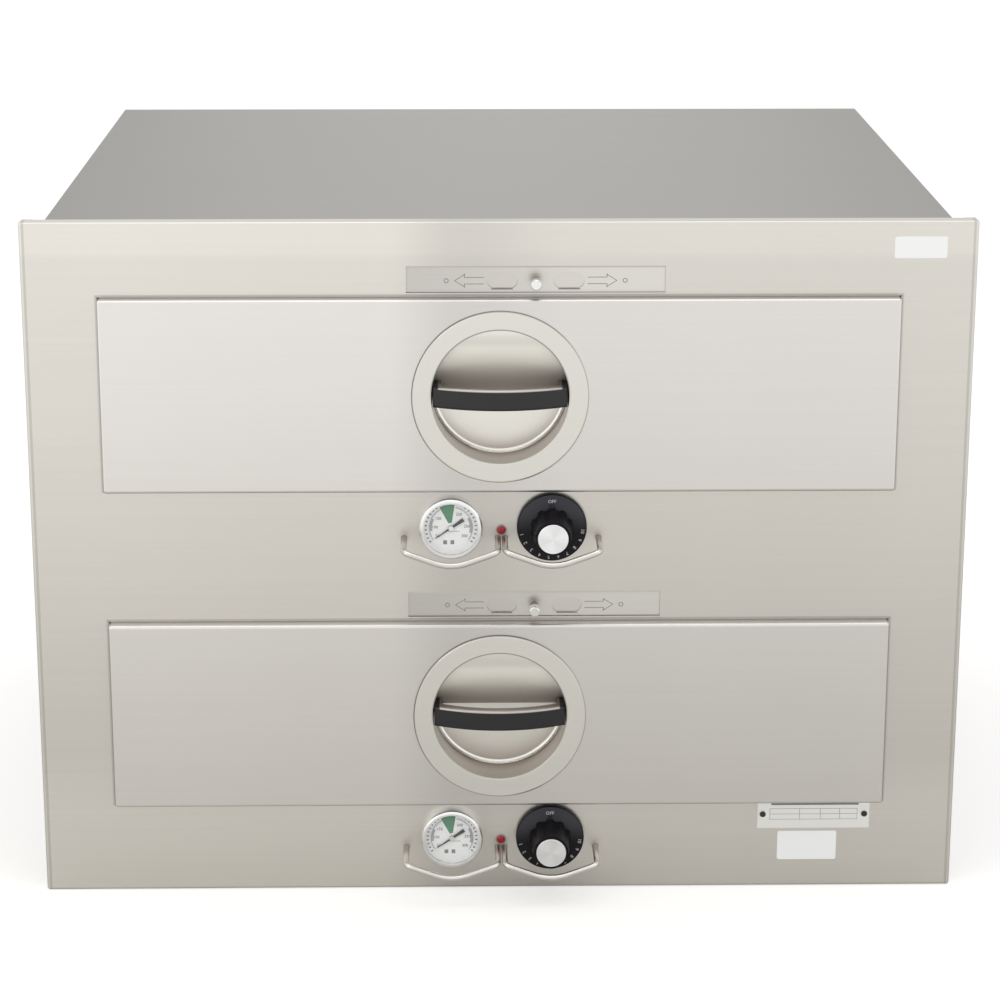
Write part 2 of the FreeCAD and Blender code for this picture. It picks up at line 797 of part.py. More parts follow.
def knob(top):
    """Black knob: numbered skirt and fluted grip, bored for the spindle."""
    z = control_z(top)
    skirt = rod(knob_skirt_d, knob_x, z, (knob_grip_y, skirt_y))
    skirt = front_rounded(skirt, knob_round)
    grip = Part.makeCone(knob_grip_d / 2, knob_grip_front_d / 2, knob_grip_h,
                         Vec(knob_x, knob_grip_y, z), Vec(0, -1, 0))
    ring = knob_grip_d / 2 + knob_flute_out
    flutes = []
    for flute in range(knob_flutes):
        angle = 2 * math.pi * flute / knob_flutes
        flutes.append(rod(knob_flute_d, knob_x + ring * math.cos(angle), z + ring * math.sin(angle),
                          (knob_front_y - overcut, knob_grip_y)))
    grip = grip.cut(flutes)
    body = joined([skirt, grip])
    return body.cut(rod(shaft_d + 2 * run_fit, knob_x, z, (skirt_y - shaft_in_knob, 0)))


def knob_cap(top):
    """Bright disc on the front of the knob."""
    cap = rod(knob_cap_d, knob_x, control_z(top), (knob_front_y - knob_cap_t, knob_front_y))
    return front_rounded(cap, knob_cap_round)


def wire_guard(top, centre):
    """Bent wire that stands out in front of a gauge or a knob and sags in the middle."""
    z = control_z(top) - guard_drop
    left, right = guard_legs(centre)
    points = [(left, guard_tail, z), (left, guard_y, z), (centre, guard_y, z - apex_depth()),
              (right, guard_y, z), (right, guard_tail, z)]
    return tube(points, [guard_corner, guard_apex, guard_corner], wire_d)


def apex_depth():
    """Depth of the guard's sharp corner below its legs, for which the rounded wire sags as wanted."""
    half = guard_span / 2
    depth = guard_sag
    for _ in range(20):
        lean = math.atan(depth / half)
        depth = guard_sag + guard_apex * (1 / math.cos(lean) - 1)
    return depth


def slide_channel(side, back, mouth, height, y, middle_z):
    """C-shaped slide member. Back and mouth are distances from the cavity wall."""
    web_end = back + slide_t if back < mouth else back - slide_t
    half = height / 2

    def across(a, b):
        return mirrored((side * (liner_half - a), side * (liner_half - b)))

    web = box(across(back, web_end), y, (middle_z - half, middle_z + half))
    upper = box(across(back, mouth), y, (middle_z + half - slide_t, middle_z + half))
    lower = box(across(back, mouth), y, (middle_z - half, middle_z - half + slide_t))
    return joined([web, upper, lower])


def slide_height(top):
    """Height of the middle of the slides of a drawer."""
    return top - frame_drop - frame_h / 2


def slide_tracks():
    """Fixed members, one on each wall of both cavities."""
    y = (slide_y, slide_y + slide_len)
    mouth = slide_total - slide_t - slide_fit / 2
    return Part.makeCompound([slide_channel(side, 0, mouth, slide_h, y, slide_height(top))
                              for top in tiers.values() for side in sides])


def slide_middles(top):
    """Middle members, nested in the fixed ones."""
    height = slide_h - 2 * (slide_t + slide_fit)
    back = slide_t + 2 * slide_fit
    mouth = slide_total - slide_t - slide_fit
    y = (slide_y, slide_y + slide_len)
    return Part.makeCompound([slide_channel(side, back, mouth, height, y, slide_height(top))
                              for side in sides])


def slide_inners(top):
    """Drawer members, nested in the middle ones and fixed to the drawer frame."""
    height = slide_h - 4 * (slide_t + slide_fit)
    mouth = 2 * slide_t + 4 * slide_fit
    y = (slide_y, slide_y + slide_len)
    return Part.makeCompound([slide_channel(side, slide_total, mouth, height, y, slide_height(top))
                              for side in sides])


def drawer_skin(top):
    """Outer skin of a drawer front, a tray with a round hole for the pull."""
    half = drawer_w / 2
    skin = folded_tray((-half, half), (front_y, front_back_y - cover_t), (top - drawer_h, top),
                       sheet_t, skin_bend, skin_bend - sheet_t)
    hole = rod(2 * (dish_r + seat), 0, top - drawer_h / 2, (front_y - overcut, front_y + 2 * sheet_t))
    return skin.cut(hole)


def drawer_cover(top):
    """Flat inner cover that closes a drawer front from behind."""
    half = drawer_w / 2
    return box((-half, half), (front_back_y - cover_t, front_back_y), (top - drawer_h, top))


def drawer_insulation(top):
    """Pad inside a drawer front, with a round hole for the pull's dish."""
    edge = skin_bend - sheet_t
    inset = sheet_t + seat + edge / 2
    half = drawer_w / 2 - inset
    z = (top - drawer_h + inset, top - inset)
    y = (front_y + sheet_t + edge, front_back_y - cover_t - seat)
    pad = box((-half, half), y, z)
    return pad.cut(rod(2 * (dish_r + seat), 0, top - drawer_h / 2, (y[0] - overcut, y[1] + overcut)))


def pull_ring(top):
    """Flat ring round the recess with a rounded outer edge."""
    z = top - drawer_h / 2
    y = (front_y - ring_proud, front_y)
    disc = rod(ring_d, 0, z, y)
    disc = front_rounded(disc, ring_round)
    ring = disc.cut(rod(open_d, 0, z, (y[0] - overcut, y[1] + overcut)))
    inner_edge = math.pi * open_d
    return rounded(ring, ring_lip, lambda middle, edge:
                   same(middle.y, y[0]) and same(edge.Length, inner_edge))


def roll_region(z, thick):
    """Everything in front of the dish's sheet, or of its rear side when thick is the sheet's thickness."""
    reach = ring_d
    radius = roll_r - thick
    centre_y = front_y + roll_r
    top = z + open_r
    floor_y = front_y + recess_depth + thick
    wide = -reach

    def on_roll(angle):
        return Vec(wide, centre_y - radius * math.cos(angle), top - radius * math.sin(angle))

    start = on_roll(0)
    end = on_roll(roll_angle)
    roof = top + thick + (reach if thick == 0 else overcut)
    corner = Vec(wide, floor_y, end.z)
    low = Vec(wide, floor_y, z - reach)
    front_low = Vec(wide, front_y - reach, z - reach)
    front_high = Vec(wide, front_y - reach, roof)
    roof_end = Vec(wide, start.y, roof)
    edges = [Part.Arc(start, on_roll(roll_angle / 2), end).toShape()]
    outline = [end, low, front_low, front_high, roof_end, start]
    if not same(floor_y, end.y):
        outline.insert(1, corner)
    for first, last in zip(outline, outline[1:]):
        edges.append(Part.LineSegment(first, last).toShape())
    return Part.Face(Part.Wire(edges)).extrude(Vec(2 * reach, 0, 0))


def recess_space(z):
    """The hollow of a pull, and as much space in front of it as the grip takes."""
    hollow = rod(open_d, 0, z, (front_y - 2 * grip_bow, front_y + recess_depth))
    return back_rounded(hollow, dish_round).common(roll_region(z, 0))


def pull_dish(top):
    """Round recess: rolled sheet in its upper half, flat floor in its lower half."""
    z = top - drawer_h / 2
    outside = rod(2 * dish_r, 0, z, (front_y, front_y + recess_depth + pull_t))
    outside = back_rounded(outside, dish_round + pull_t).common(roll_region(z, pull_t))
    return outside.cut(recess_space(z))


def grip(top):
    """Bowed bar across the recess, with a leg at each end that runs back to the dish."""
    z = top - drawer_h / 2
    half = math.sqrt(open_r ** 2 - (grip_h / 2) ** 2) - grip_clear
    front_r = (half ** 2 + grip_bow ** 2) / (2 * grip_bow)
    back_r = front_r - grip_t
    centre_y = front_y - grip_bow + front_r
    inner = half - grip_leg
    back_y = centre_y - math.sqrt(back_r ** 2 - inner ** 2)
    floor_y = front_y + recess_depth
    low = z - grip_h / 2

    def spot(x, y):
        return Vec(x, y, low)

    def leg(side):
        points = [spot(side * half, front_y), spot(side * half, floor_y),
                  spot(side * inner, floor_y), spot(side * inner, back_y)]
        return [Part.LineSegment(*ends).toShape() for ends in zip(points, points[1:])]

    middle_y = front_y - grip_bow
    front_arc = Part.Arc(spot(-half, front_y), spot(0, middle_y), spot(half, front_y)).toShape()
    back_arc = Part.Arc(spot(inner, back_y), spot(0, middle_y + grip_t), spot(-inner, back_y)).toShape()
    outline = Part.Wire([front_arc] + leg(1) + [back_arc] + leg(-1)[::-1])
    bar = Part.Face(outline).extrude(Vec(0, 0, grip_h))
    bar = rounded(bar, grip_front_round, lambda middle, edge:
                  edge.Length > 2 * half and edge.BoundBox.ZLength < overcut)
    bar = rounded(bar, grip_back_round, lambda middle, edge:
                  edge.Length > 2 * inner and middle.y > middle_y + grip_t / 2
                  and edge.BoundBox.ZLength < overcut)
    return bar.common(recess_space(z))


def pan_place():
    """Middle of the pan along Y."""
    return front_back_y + pan_front_room + pan_d / 2


def rounded_rectangle(width, depth, radius, middle_y, z):
    """Closed outline with round corners, lying flat."""
    slab = box((-width / 2, width / 2), (middle_y - depth / 2, middle_y + depth / 2), (z, z + sheet_t))
    slab = rounded(slab, radius, lambda middle, edge: edge.BoundBox.ZLength > sheet_t / 2)
    return [face for face in slab.Faces if same(face.CenterOfMass.z, z)][0].OuterWire


def pan_body(width, depth, radius, top_z, floor_z, floor_round):
    """Tapered tub with round corners and a rounded floor edge."""
    middle = pan_place()
    rim = rounded_rectangle(width, depth, radius, middle, top_z)
    floor_w = width - 2 * pan_taper
    floor_d = depth - 2 * pan_taper
    floor = rounded_rectangle(floor_w, floor_d, radius - pan_taper / 2, middle, floor_z)
    tub = Part.makeLoft([rim, floor], True)
    return rounded(tub, floor_round, lambda centre, edge: edge.BoundBox.ZMax < floor_z + floor_round / 2)


def pan(top):
    """Full-size food pan that hangs by its rim in the drawer frame."""
    rim_low = top - frame_drop
    rim_high = rim_low + pan_t
    floor = rim_high - pan_deep
    wide = pan_w - 2 * pan_rim
    deep = pan_d - 2 * pan_rim
    tub = pan_body(wide, deep, pan_corner, rim_high, floor, pan_floor_round)
    inside = pan_body(wide - 2 * pan_t, deep - 2 * pan_t, pan_corner - pan_t, rim_high + seat, floor + pan_t,
                      pan_floor_round - pan_t)
    middle = pan_place()
    rim_outline = rounded_rectangle(pan_w, pan_d, pan_corner + pan_rim, middle, rim_low)
    rim = Part.Face(rim_outline).extrude(Vec(0, 0, pan_t))
    return joined([rim, tub]).cut(inside)


def drawer_frame(top):
    """Sheet frame behind the drawer front: a shelf with an opening for the pan, and its walls."""
    half = liner_half - slide_total
    y = (front_back_y, slide_y + slide_len)
    z = (top - frame_drop - frame_h, top - frame_drop)
    outer = box((-half, half), y, z)
    hollow = box((-half + frame_t, half - frame_t), (y[0] + frame_t, y[1] - frame_t),
                 (z[0] - overcut, z[1] - frame_t))
    opening_w = pan_w - 2 * pan_rim + 2 * pan_drop_room
    opening_d = pan_d - 2 * pan_rim + 2 * pan_drop_room
    outline = rounded_rectangle(opening_w, opening_d, pan_corner, pan_place(), z[0])
    opening = Part.Face(outline).extrude(Vec(0, 0, frame_h + overcut))
    return outer.cut([hollow, opening])


def data_plate():
    """Blank plate on the face sheet."""
    x, z = plate_limits()
    plate = box(x, (-plate_t, 0), z)
    through = (-plate_t - overcut, overcut)
    return plate.cut([rod(rivet_shank_d + 2 * hole_room, *place, through) for place in rivet_places()])


def plate_rivets():
    """Two domed rivets that hold the plate."""
    rivets = []
    for x, z in rivet_places():
        head = rod(rivet_d, x, z, (-plate_t - rivet_proud, -plate_t))
        head = front_rounded(head, rivet_round)
        shank = rod(rivet_shank_d, x, z, (-plate_t, sheet_t + rivet_proud))
        rivets.append(joined([head, shank]))
    return Part.makeCompound(rivets)


def build_fixed():
    """Body, face, controls and everything else that stays still."""
    pieces["front_panel"] = front_panel()
    pieces["cabinet_wrapper"] = cabinet_wrapper()
    pieces["cabinet_bottom"] = cabinet_bottom()
    pieces["back_panel"] = back_panel()
    pieces["terminal_cover"] = terminal_cover()
    pieces["terminal_block"] = terminal_block()
    pieces["cabinet_screws"] = cabinet_screws()
    pieces["slide_tracks"] = slide_tracks()
    pieces["element_clips"] = element_clips()
    pieces["data_plate"] = data_plate()
    pieces["data_plate_rivets"] = plate_rivets()
    tops = list(tiers.values())
    pieces["vent_plates"] = Part.makeCompound([vent_plate(top) for top in tops])
    pieces["gauge_dials"] = Part.makeCompound([gauge_dial(top) for top in tops])
    pieces["gauge_lenses"] = Part.makeCompound([gauge_lens(top) for top in tops])
    pieces["pilot_lamp_bodies"] = Part.makeCompound([pilot_body(top) for top in tops])
    pieces["pilot_lamp_lenses"] = Part.makeCompound([pilot_lens(top) for top in tops])
    blanket_over = {"upper": (top_insulation, face_return + seat),
                    "lower": (floor_insulation, insulation_front)}
    for tier, top in tiers.items():
        pieces[tier + "_liner"] = liner(top)
        pieces[tier + "_insulation"] = insulation(top, *blanket_over[tier])
        pieces[tier + "_heating_element"] = heating_element(top)
        pieces[tier + "_gauge_case"] = gauge_case(top)
        pieces[tier + "_thermostat"] = thermostat(top)
        guards = [wire_guard(top, centre) for centre in guard_centres()]
        pieces[tier + "_wire_guards"] = Part.makeCompound(guards)


def build_moving():
    """Drawers, dampers, knobs and needles."""
    for tier, top in tiers.items():
        pieces[tier + "_drawer_skin"] = drawer_skin(top)
        pieces[tier + "_drawer_cover"] = drawer_cover(top)
        pieces[tier + "_drawer_insulation"] = drawer_insulation(top)
        pieces[tier + "_drawer_frame"] = drawer_frame(top)
        pieces[tier + "_pull_ring"] = pull_ring(top)
        pieces[tier + "_pull_dish"] = pull_dish(top)
        pieces[tier + "_grip"] = grip(top)
        pieces[tier + "_pan"] = pan(top)
        pieces[tier + "_slide_inners"] = slide_inners(top)
        pieces[tier + "_slide_middles"] = slide_middles(top)
        pieces[tier + "_vent_slide"] = vent_slide(top)
        pieces[tier + "_vent_pin"] = vent_pin(top)
        pieces[tier + "_knob"] = knob(top)
        pieces[tier + "_knob_cap"] = knob_cap(top)
        pieces[tier + "_thermostat_shaft"] = thermostat_shaft(top)
        pieces[tier + "_gauge_needle"] = gauge_needle(top)


def save():
    """Move every piece to the object's own frame and write it."""
    os.makedirs("parts", exist_ok=True)
    for name, shape in pieces.items():
        moved = shape.copy()
        moved.translate(Vec(0, -middle_y, 0))
        moved.exportStep("parts/" + name + ".step")
        print(name, len(moved.Solids), "solids", round(moved.Volume, 1), "mm3 valid", moved.isValid())
    print("pieces", len(pieces))
    print("face", round(face_w, 2), "x", round(face_h, 2), "depth", round(back_most - front_most, 2))
    print("tier pitch", round(tier_pitch, 2), "face plane at y", round(-middle_y, 3))
    for tier, top in tiers.items():
        print(tier, "drawer top", round(top, 3), "controls", round(control_z(top), 3))


build_fixed()
build_moving()
save()
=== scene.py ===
# %% [markdown]
# # A two-tier warming drawer in brushed steel
# The solids of this object come from its CAD model: every sheet, knob, wire and slide is already
# there at its real size. What is made here is what CAD leaves out: the brushed finish of the
# steel with its painted light and shade, the print on the gauges and knobs, the small arrows on
# the dampers, thin seals that partly stand in for shade, blank labels, and the light of a plain
# studio.

# %% Load the imported model
import json
import math
import bmesh
import bpy
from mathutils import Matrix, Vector


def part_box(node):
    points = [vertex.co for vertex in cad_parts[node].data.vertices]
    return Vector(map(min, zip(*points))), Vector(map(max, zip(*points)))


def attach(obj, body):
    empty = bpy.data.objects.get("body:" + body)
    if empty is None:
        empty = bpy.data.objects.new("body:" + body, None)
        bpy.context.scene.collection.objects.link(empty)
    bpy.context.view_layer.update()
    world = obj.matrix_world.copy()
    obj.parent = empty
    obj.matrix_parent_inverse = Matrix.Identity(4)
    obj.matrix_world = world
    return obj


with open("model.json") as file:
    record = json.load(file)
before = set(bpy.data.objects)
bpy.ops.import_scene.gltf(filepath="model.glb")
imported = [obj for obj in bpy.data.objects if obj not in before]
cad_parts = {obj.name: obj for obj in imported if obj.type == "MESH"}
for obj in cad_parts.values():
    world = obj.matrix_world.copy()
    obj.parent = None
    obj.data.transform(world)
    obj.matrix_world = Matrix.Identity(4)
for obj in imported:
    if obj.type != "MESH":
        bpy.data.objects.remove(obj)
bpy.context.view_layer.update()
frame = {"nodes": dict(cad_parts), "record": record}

MM = 0.001
nodes = frame["nodes"]
tiers = ("upper", "lower")

# %% [markdown]
# ## Places that everything else is measured from
# The face sheet, the gauges and the knobs know where they are, so each printed mark asks its own
# CAD solid for its place, and nothing is typed in twice. The object looks towards -Y.


# %% Read places off the CAD solids
def low(node):
    """Lowest corner of a CAD node."""
    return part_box(node)[0]


def high(node):
    """Highest corner of a CAD node."""
    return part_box(node)[1]


def middle(node):
    """Centre of a CAD node's box."""
    return (low(node) + high(node)) / 2


face_y = low("front_panel").y
face_right = high("front_panel").x
face_top = high("front_panel").z
gauge_at = {tier: middle(tier + "_gauge_needle") for tier in tiers}
for tier in tiers:
    gauge_at[tier].x = (low("gauge_lenses").x + high("gauge_lenses").x) / 2
    gauge_at[tier].z = middle(tier + "_knob").z
knob_at = {tier: middle(tier + "_knob") for tier in tiers}
vent_at = {tier: middle(tier + "_vent_pin") for tier in tiers}
pull_at = {tier: middle(tier + "_pull_ring") for tier in tiers}
drawer_low, drawer_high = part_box("lower_drawer_skin")
skirt_t = 4.0 * MM
skirt_front = high("lower_knob").y - skirt_t
pitch = knob_at["upper"].z - knob_at["lower"].z
print("face plane y", round(face_y / MM, 1), "tier pitch", round(pitch / MM, 1))

# %% [markdown]
# ## Camera
# The photograph looks slightly down on the front from a little left of the middle, so that the
# whole face and the plain top are seen. A long lens keeps the face calm. The lens is shifted a
# little, as on a view camera, which keeps the upright edges closer to upright than a plain
# downward tilt would.

# %% Put the camera where the photographer stood
stand_x = -33.9 * MM
stand_back = 2006.9 * MM
stand_above = 414.8 * MM
look_down = math.radians(14.64)
look_aside = math.radians(0.95)
lean = math.radians(0.07)
focal_pixels = 2674.7
picture_pixels = 1000

lens = bpy.data.cameras.new("studio_camera")
camera = bpy.data.objects.new("studio_camera", lens)
bpy.context.scene.collection.objects.link(camera)
bpy.context.scene.camera = camera
lens.sensor_width = 36.0
lens.lens = focal_pixels / picture_pixels * lens.sensor_width
lens.shift_y = -0.14
lens.clip_start = 0.01
lens.clip_end = 100.0
camera.location = (stand_x, face_y - stand_back, face_top + stand_above)
camera.rotation_mode = "XYZ"
camera.rotation_euler = (math.pi / 2 - look_down, -lean, -look_aside)
print("lens", round(lens.lens, 1), "mm, shift", lens.shift_y)

# %% [markdown]
# ## Writing materials as sums
# A brushed finish is mostly arithmetic: stretch a noise, lift its contrast, add it to a
# roughness. Node trees for that are hard to read as a list of links, so one small class lets an
# output socket be added and multiplied like a number. Every operation quietly adds the Math node
# that a person would have placed by hand.


# %% A socket that can be used in a sum
class Field:
    """An output socket that varies over a surface. Arithmetic on it adds Math nodes."""

    def __init__(self, tree, socket):
        self.tree = tree
        self.socket = socket

    def math(self, operation, *values):
        """Math node of one operation, fed with fields and numbers in the order given."""
        step = self.tree.nodes.new("ShaderNodeMath")
        step.operation = operation
        for entry, value in zip(step.inputs, values):
            if isinstance(value, Field):
                self.tree.links.new(value.socket, entry)
            else:
                entry.default_value = value
        return Field(self.tree, step.outputs[0])

    def do(self, operation, *others):
        """Math node of one operation on this field and others."""
        return self.math(operation, self, *others)

    def __add__(self, other):
        return self.math("ADD", self, other)

    def __radd__(self, other):
        return self.math("ADD", other, self)

    def __sub__(self, other):
        return self.math("SUBTRACT", self, other)

    def __rsub__(self, other):
        return self.math("SUBTRACT", other, self)

    def __mul__(self, other):
        return self.math("MULTIPLY", self, other)

    def __rmul__(self, other):
        return self.math("MULTIPLY", other, self)

    def __neg__(self):
        return self.do("MULTIPLY", -1.0)


# %% A material under construction
class Finish:
    """A node material: its tree, its Principled shader and one method that adds any node."""

    def __init__(self, name, **constants):
        self.name = name
        self.material = bpy.data.materials.new(name)
        self.material.use_nodes = True
        self.tree = self.material.node_tree
        self.shader = self.tree.nodes["Principled BSDF"]
        self.set(**constants)

    def feed(self, entry, value):
        """Give an input socket a field, a number, a colour or a vector."""
        if isinstance(value, Field):
            self.tree.links.new(value.socket, entry)
        elif hasattr(entry.default_value, "__len__"):
            entry.default_value = (*value, 1.0)[:len(entry.default_value)]
        else:
            entry.default_value = value

    def set(self, **values):
        """Set or link sockets of the Principled shader, with underscores for spaces."""
        for name, value in values.items():
            self.feed(self.shader.inputs[name.replace("_", " ")], value)

    def add(self, kind, settings=None, output=0, **values):
        """Add one node: its settings first, then its sockets. Returns one of its outputs."""
        step = self.tree.nodes.new(kind)
        settings = dict(settings or {})
        stops = settings.pop("stops", None)
        for name, value in settings.items():
            setattr(step, name, value)
        if stops:
            ramp = step.color_ramp
            while len(ramp.elements) < len(stops):
                ramp.elements.new(0.5)
            for element, (position, colour) in zip(ramp.elements, stops):
                element.position = position
                element.color = (*colour, 1.0)
        for name, value in values.items():
            key = int(name[1:]) if name[0] == "_" else name.replace("_", " ")
            self.feed(step.inputs[key], value)
        return Field(self.tree, step.outputs[output])

    def place(self):
        """The three coordinates of a point on the object, in metres."""
        point = self.add("ShaderNodeTexCoord", output="Object")
        return [self.add("ShaderNodeSeparateXYZ", output=axis, Vector=point) for axis in "XYZ"]

    def above(self, z, level):
        """Height above a level of the lower tier, started again for the upper tier."""
        return (z - (level - pitch / 2)).do("MODULO", pitch) - pitch / 2

    def facing(self):
        """How far the surface looks right, back and up, each from -1 to 1."""
        normal = self.add("ShaderNodeTexCoord", output="Normal")
        return [self.add("ShaderNodeSeparateXYZ", output=axis, Vector=normal) for axis in "XYZ"]

    def noise(self, stretch, detail=3.0, rough=0.55):
        """Noise of 0 to 1 whose grain is as many per metre along each axis as stretch says."""
        point = self.add("ShaderNodeTexCoord", output="Object")
        spread = self.add("ShaderNodeMapping", Vector=point, Scale=stretch)
        return self.add("ShaderNodeTexNoise", output="Fac", Vector=spread, Scale=1.0, Detail=detail,
                        Roughness=rough)

    def ease(self, value, start, end):
        """Soft step of a field: 0 before start, 1 after end."""
        return self.add("ShaderNodeMapRange", {"interpolation_type": "SMOOTHSTEP"},
                        _0=value, _1=start, _2=end, _3=0.0, _4=1.0)

    def shade(self, amount, dark, bright):
        """Colour between two, by a field of 0 to 1."""
        return self.add("ShaderNodeMix", {"data_type": "RGBA"}, output=2,
                        _0=amount, _6=dark, _7=bright)

    def bump(self, height, depth):
        """Small relief from a field of 0 to 1, as deep as given in metres."""
        self.set(Normal=self.add("ShaderNodeBump", Height=height, Strength=1.0, Distance=depth))


print("sum and material helpers ready")

# %% [markdown]
# ## Brushed steel
# The sheets are brushed along X. A belt leaves fine scratches, longer than they are wide by a
# factor of hundreds, so the noise is stretched the same way. Fine scratches and longer marks make
# the surface, and broad soft bands of painted reflection come on top, because on a real sheet the
# scratches smear every reflection across the grain. Where a piece has painted light or painted
# shade, such as beside a drawer or on a folded edge, a function says where it is and how strong.


# %% Brushed and plain metal finishes
def steel_colours(colour, contrast):
    """A darker and a brighter version of a steel colour."""
    dark = [c * (1 - contrast) for c in colour]
    bright = [min(1.0, c * (1 + contrast)) for c in colour]
    return dark, bright


def length_bands(finish):
    """Painted reflection of a long brushed sheet in broad upright bands: bright at the left, a soft
    dark band left of the middle, and less bright again to the right."""
    band_shade, recovery = 0.16, 0.09
    x = finish.place()[0]
    fall = finish.ease(x, -92 * MM, -32 * MM)
    rise = finish.ease(x, -28 * MM, 60 * MM)
    return 1.0 - fall * (band_shade - rise * recovery)


def face_drift(finish):
    """The face sheet: its painted reflection bands, painted light on a brighter foot and brow, a
    darker line beside each side edge, and painted shade on its folds and round each drawer."""
    plain, foot_light, brow_light = 0.865, 0.10, 0.055
    beside_drawer_shade, hem_shade, fold_shade = 0.22, 0.20, 0.20
    x, _, z = finish.place()
    _, back, _ = finish.facing()
    out = x.do("ABSOLUTE")
    # painted light: a brighter foot and brow
    foot = finish.ease(z, 130 * MM, 60 * MM)
    brow = finish.ease(z, 522 * MM, 534 * MM)
    hem = finish.ease(out, face_right - 4.6 * MM, face_right - 4.0 * MM)
    hem = hem * finish.ease(out, face_right - 2.0 * MM, face_right - 2.6 * MM)
    # painted shade on the face round each drawer
    aside = out - drawer_high.x
    off_centre = finish.above(z, (drawer_low.z + drawer_high.z) / 2).do("ABSOLUTE")
    beyond = off_centre - (drawer_high.z - drawer_low.z) / 2
    beside_drawer = finish.ease(aside.do("MAXIMUM", beyond), 2.6 * MM, 1.8 * MM)
    # painted shade where the sheet turns away at its folds
    fold = finish.ease(-back, 0.97, 0.70)
    light = plain + foot * foot_light + brow * brow_light
    lines = 1.0 - beside_drawer * beside_drawer_shade - hem * hem_shade - fold * fold_shade
    return length_bands(finish) * light * lines


def drawer_drift(finish):
    """A drawer front: the same bands, and painted shade on its folds, less on the top fold."""
    fold_shade, top_light = 0.46, 0.36
    _, back, up = finish.facing()
    # painted shade on the folds, lightened on the top fold by painted light
    fold = finish.ease(-back, 0.90, 0.70)
    top = finish.ease(up, 0.2, 0.8)
    return length_bands(finish) * (1.0 - fold * (fold_shade - top * top_light))


def strip_drift(finish):
    """A damper strip with painted light, weakest at its left and brightening to the right."""
    left_tone, rise = 0.80, 0.16
    x = finish.place()[0]
    return left_tone + finish.ease(x, -60 * MM, 90 * MM) * rise


def crowned(finish):
    """A wide sheet with painted light along its middle, fading to each side."""
    fall = 1.8
    x = finish.place()[0]
    return 1.0 - x * x * fall


def seam_line(finish):
    """A pull's ring: painted shade where it meets sheet and dish, on its inner edge over the upper
    half only, and darkest at its upper left.
    """
    outer_shade, side_shade, inner_shade = 0.26, 0.50, 0.52
    x, _, z = finish.place()
    up = finish.above(z, pull_at["lower"].z)
    radius = (x * x + up * up).do("SQRT")
    # painted shade along the ring's outer edge and the upper half of its inner edge
    outer = finish.ease(radius, 67.6 * MM, 68.6 * MM)
    inner = finish.ease(radius, 54.9 * MM, 54.1 * MM) * finish.ease(up, -8 * MM, 12 * MM)
    upper_left = finish.ease(up - x, -95 * MM, 85 * MM)
    return 1.0 - outer * (outer_shade + upper_left * side_shade) - inner * inner_shade


def pressed_dish(finish):
    """A pull's dish: painted shade on its side wall, deeper towards the back, a painted highlight
    on the bend round its floor made by darkening the flat floor, and painted shade on the roll
    where it turns under."""
    wall_shade, depth_shade, under_shade, floor_shade = 0.68, 0.20, 0.46, 0.14
    _, y, _ = finish.place()
    _, back, up = finish.facing()
    # painted shade and painted highlight of the dish, by which way the surface looks
    wall = finish.ease(-back, 0.30, 0.12)
    deep = finish.ease(y, face_y + 2 * MM, face_y + 20 * MM)
    under = finish.ease(up, -0.42, -0.80)
    floor = finish.ease(-back, 0.97, 0.99)
    wall_dark = wall * (wall_shade + deep * depth_shade)
    return 1.0 - wall_dark - under * under_shade - floor * floor_shade


def dish_gloss(finish):
    """Added roughness of the dish's roll, which mirrors the grip in front of it only softly."""
    most = 0.36
    return finish.ease(finish.facing()[2], -0.08, -0.30) * most


def brushed_steel(name, colour, roughness=0.34, contrast=0.05, grain=(6, 1400, 1400), bands=0.5,
                  relief=0.03 * MM, drift=None, shadow=(0, 0, 0), dull=None):
    """Sheet brushed along the axis in which the grain is coarse."""
    finish = Finish(name, Metallic=1.0)
    scratches = finish.noise(grain, detail=4.0, rough=0.7)
    long_marks = finish.noise([g * 0.22 for g in grain], detail=2.0)
    smear = finish.noise((9.0, 0.8, 0.8), detail=2.0)
    cloud = finish.noise((3.0, 3.0, 3.0), detail=2.0)
    tone = scratches * 0.35 + long_marks * 0.25 + smear * (0.4 * bands)
    tone = tone + cloud * (0.4 * (1 - bands))
    dark, bright = steel_colours(colour, contrast * 2)
    steel = finish.shade(tone, dark, bright)
    # a piece's painted light and shade, mixed in towards its shadow colour
    if drift:
        steel = finish.shade(drift(finish), shadow, steel)
    finish.set(Base_Color=steel)
    rough = roughness - 0.07 + scratches * 0.10 + cloud * 0.05
    finish.set(Roughness=rough + dull(finish) if dull else rough)
    finish.bump(scratches * 0.6 + long_marks * 0.4, relief)
    return finish


def pin_neck(finish):
    """A damper pin, with painted shade in brown on its neck behind the bright head."""
    y = finish.place()[1]
    pin_front = low("lower_vent_pin").y
    return finish.ease(y, pin_front + 9 * MM, pin_front + 6 * MM)


def guard_leg(finish):
    """A wire guard, with painted shade in brown where its legs enter the face."""
    leg_shade = 0.68
    y = finish.place()[1]
    return 1.0 - finish.ease(y, face_y - 22 * MM, face_y - 8 * MM) * leg_shade


# brown of painted shade on the pin necks and guard legs
painted_shade_brown = (0.20, 0.145, 0.115)


def mill_metal(name, colour, roughness=0.4, contrast=0.07, speckle=60.0, drift=None):
    """Sheet or plating as it comes from the mill: no direction, soft clouds and a fine grain."""
    finish = Finish(name, Metallic=1.0)
    cloud = finish.noise((speckle / 8,) * 3, detail=3.0)
    grain = finish.noise((speckle * 16,) * 3, detail=2.0)
    dark, bright = steel_colours(colour, contrast * 2)
    metal = finish.shade(cloud * 0.6 + grain * 0.4, dark, bright)
    # painted shade in brown, where a piece has it
    if drift:
        metal = finish.shade(drift(finish), painted_shade_brown, metal)
    finish.set(Base_Color=metal)
    finish.set(Roughness=roughness - 0.08 + cloud * 0.1 + grain * 0.06)
    finish.bump(grain, 0.02 * MM)
    return finish


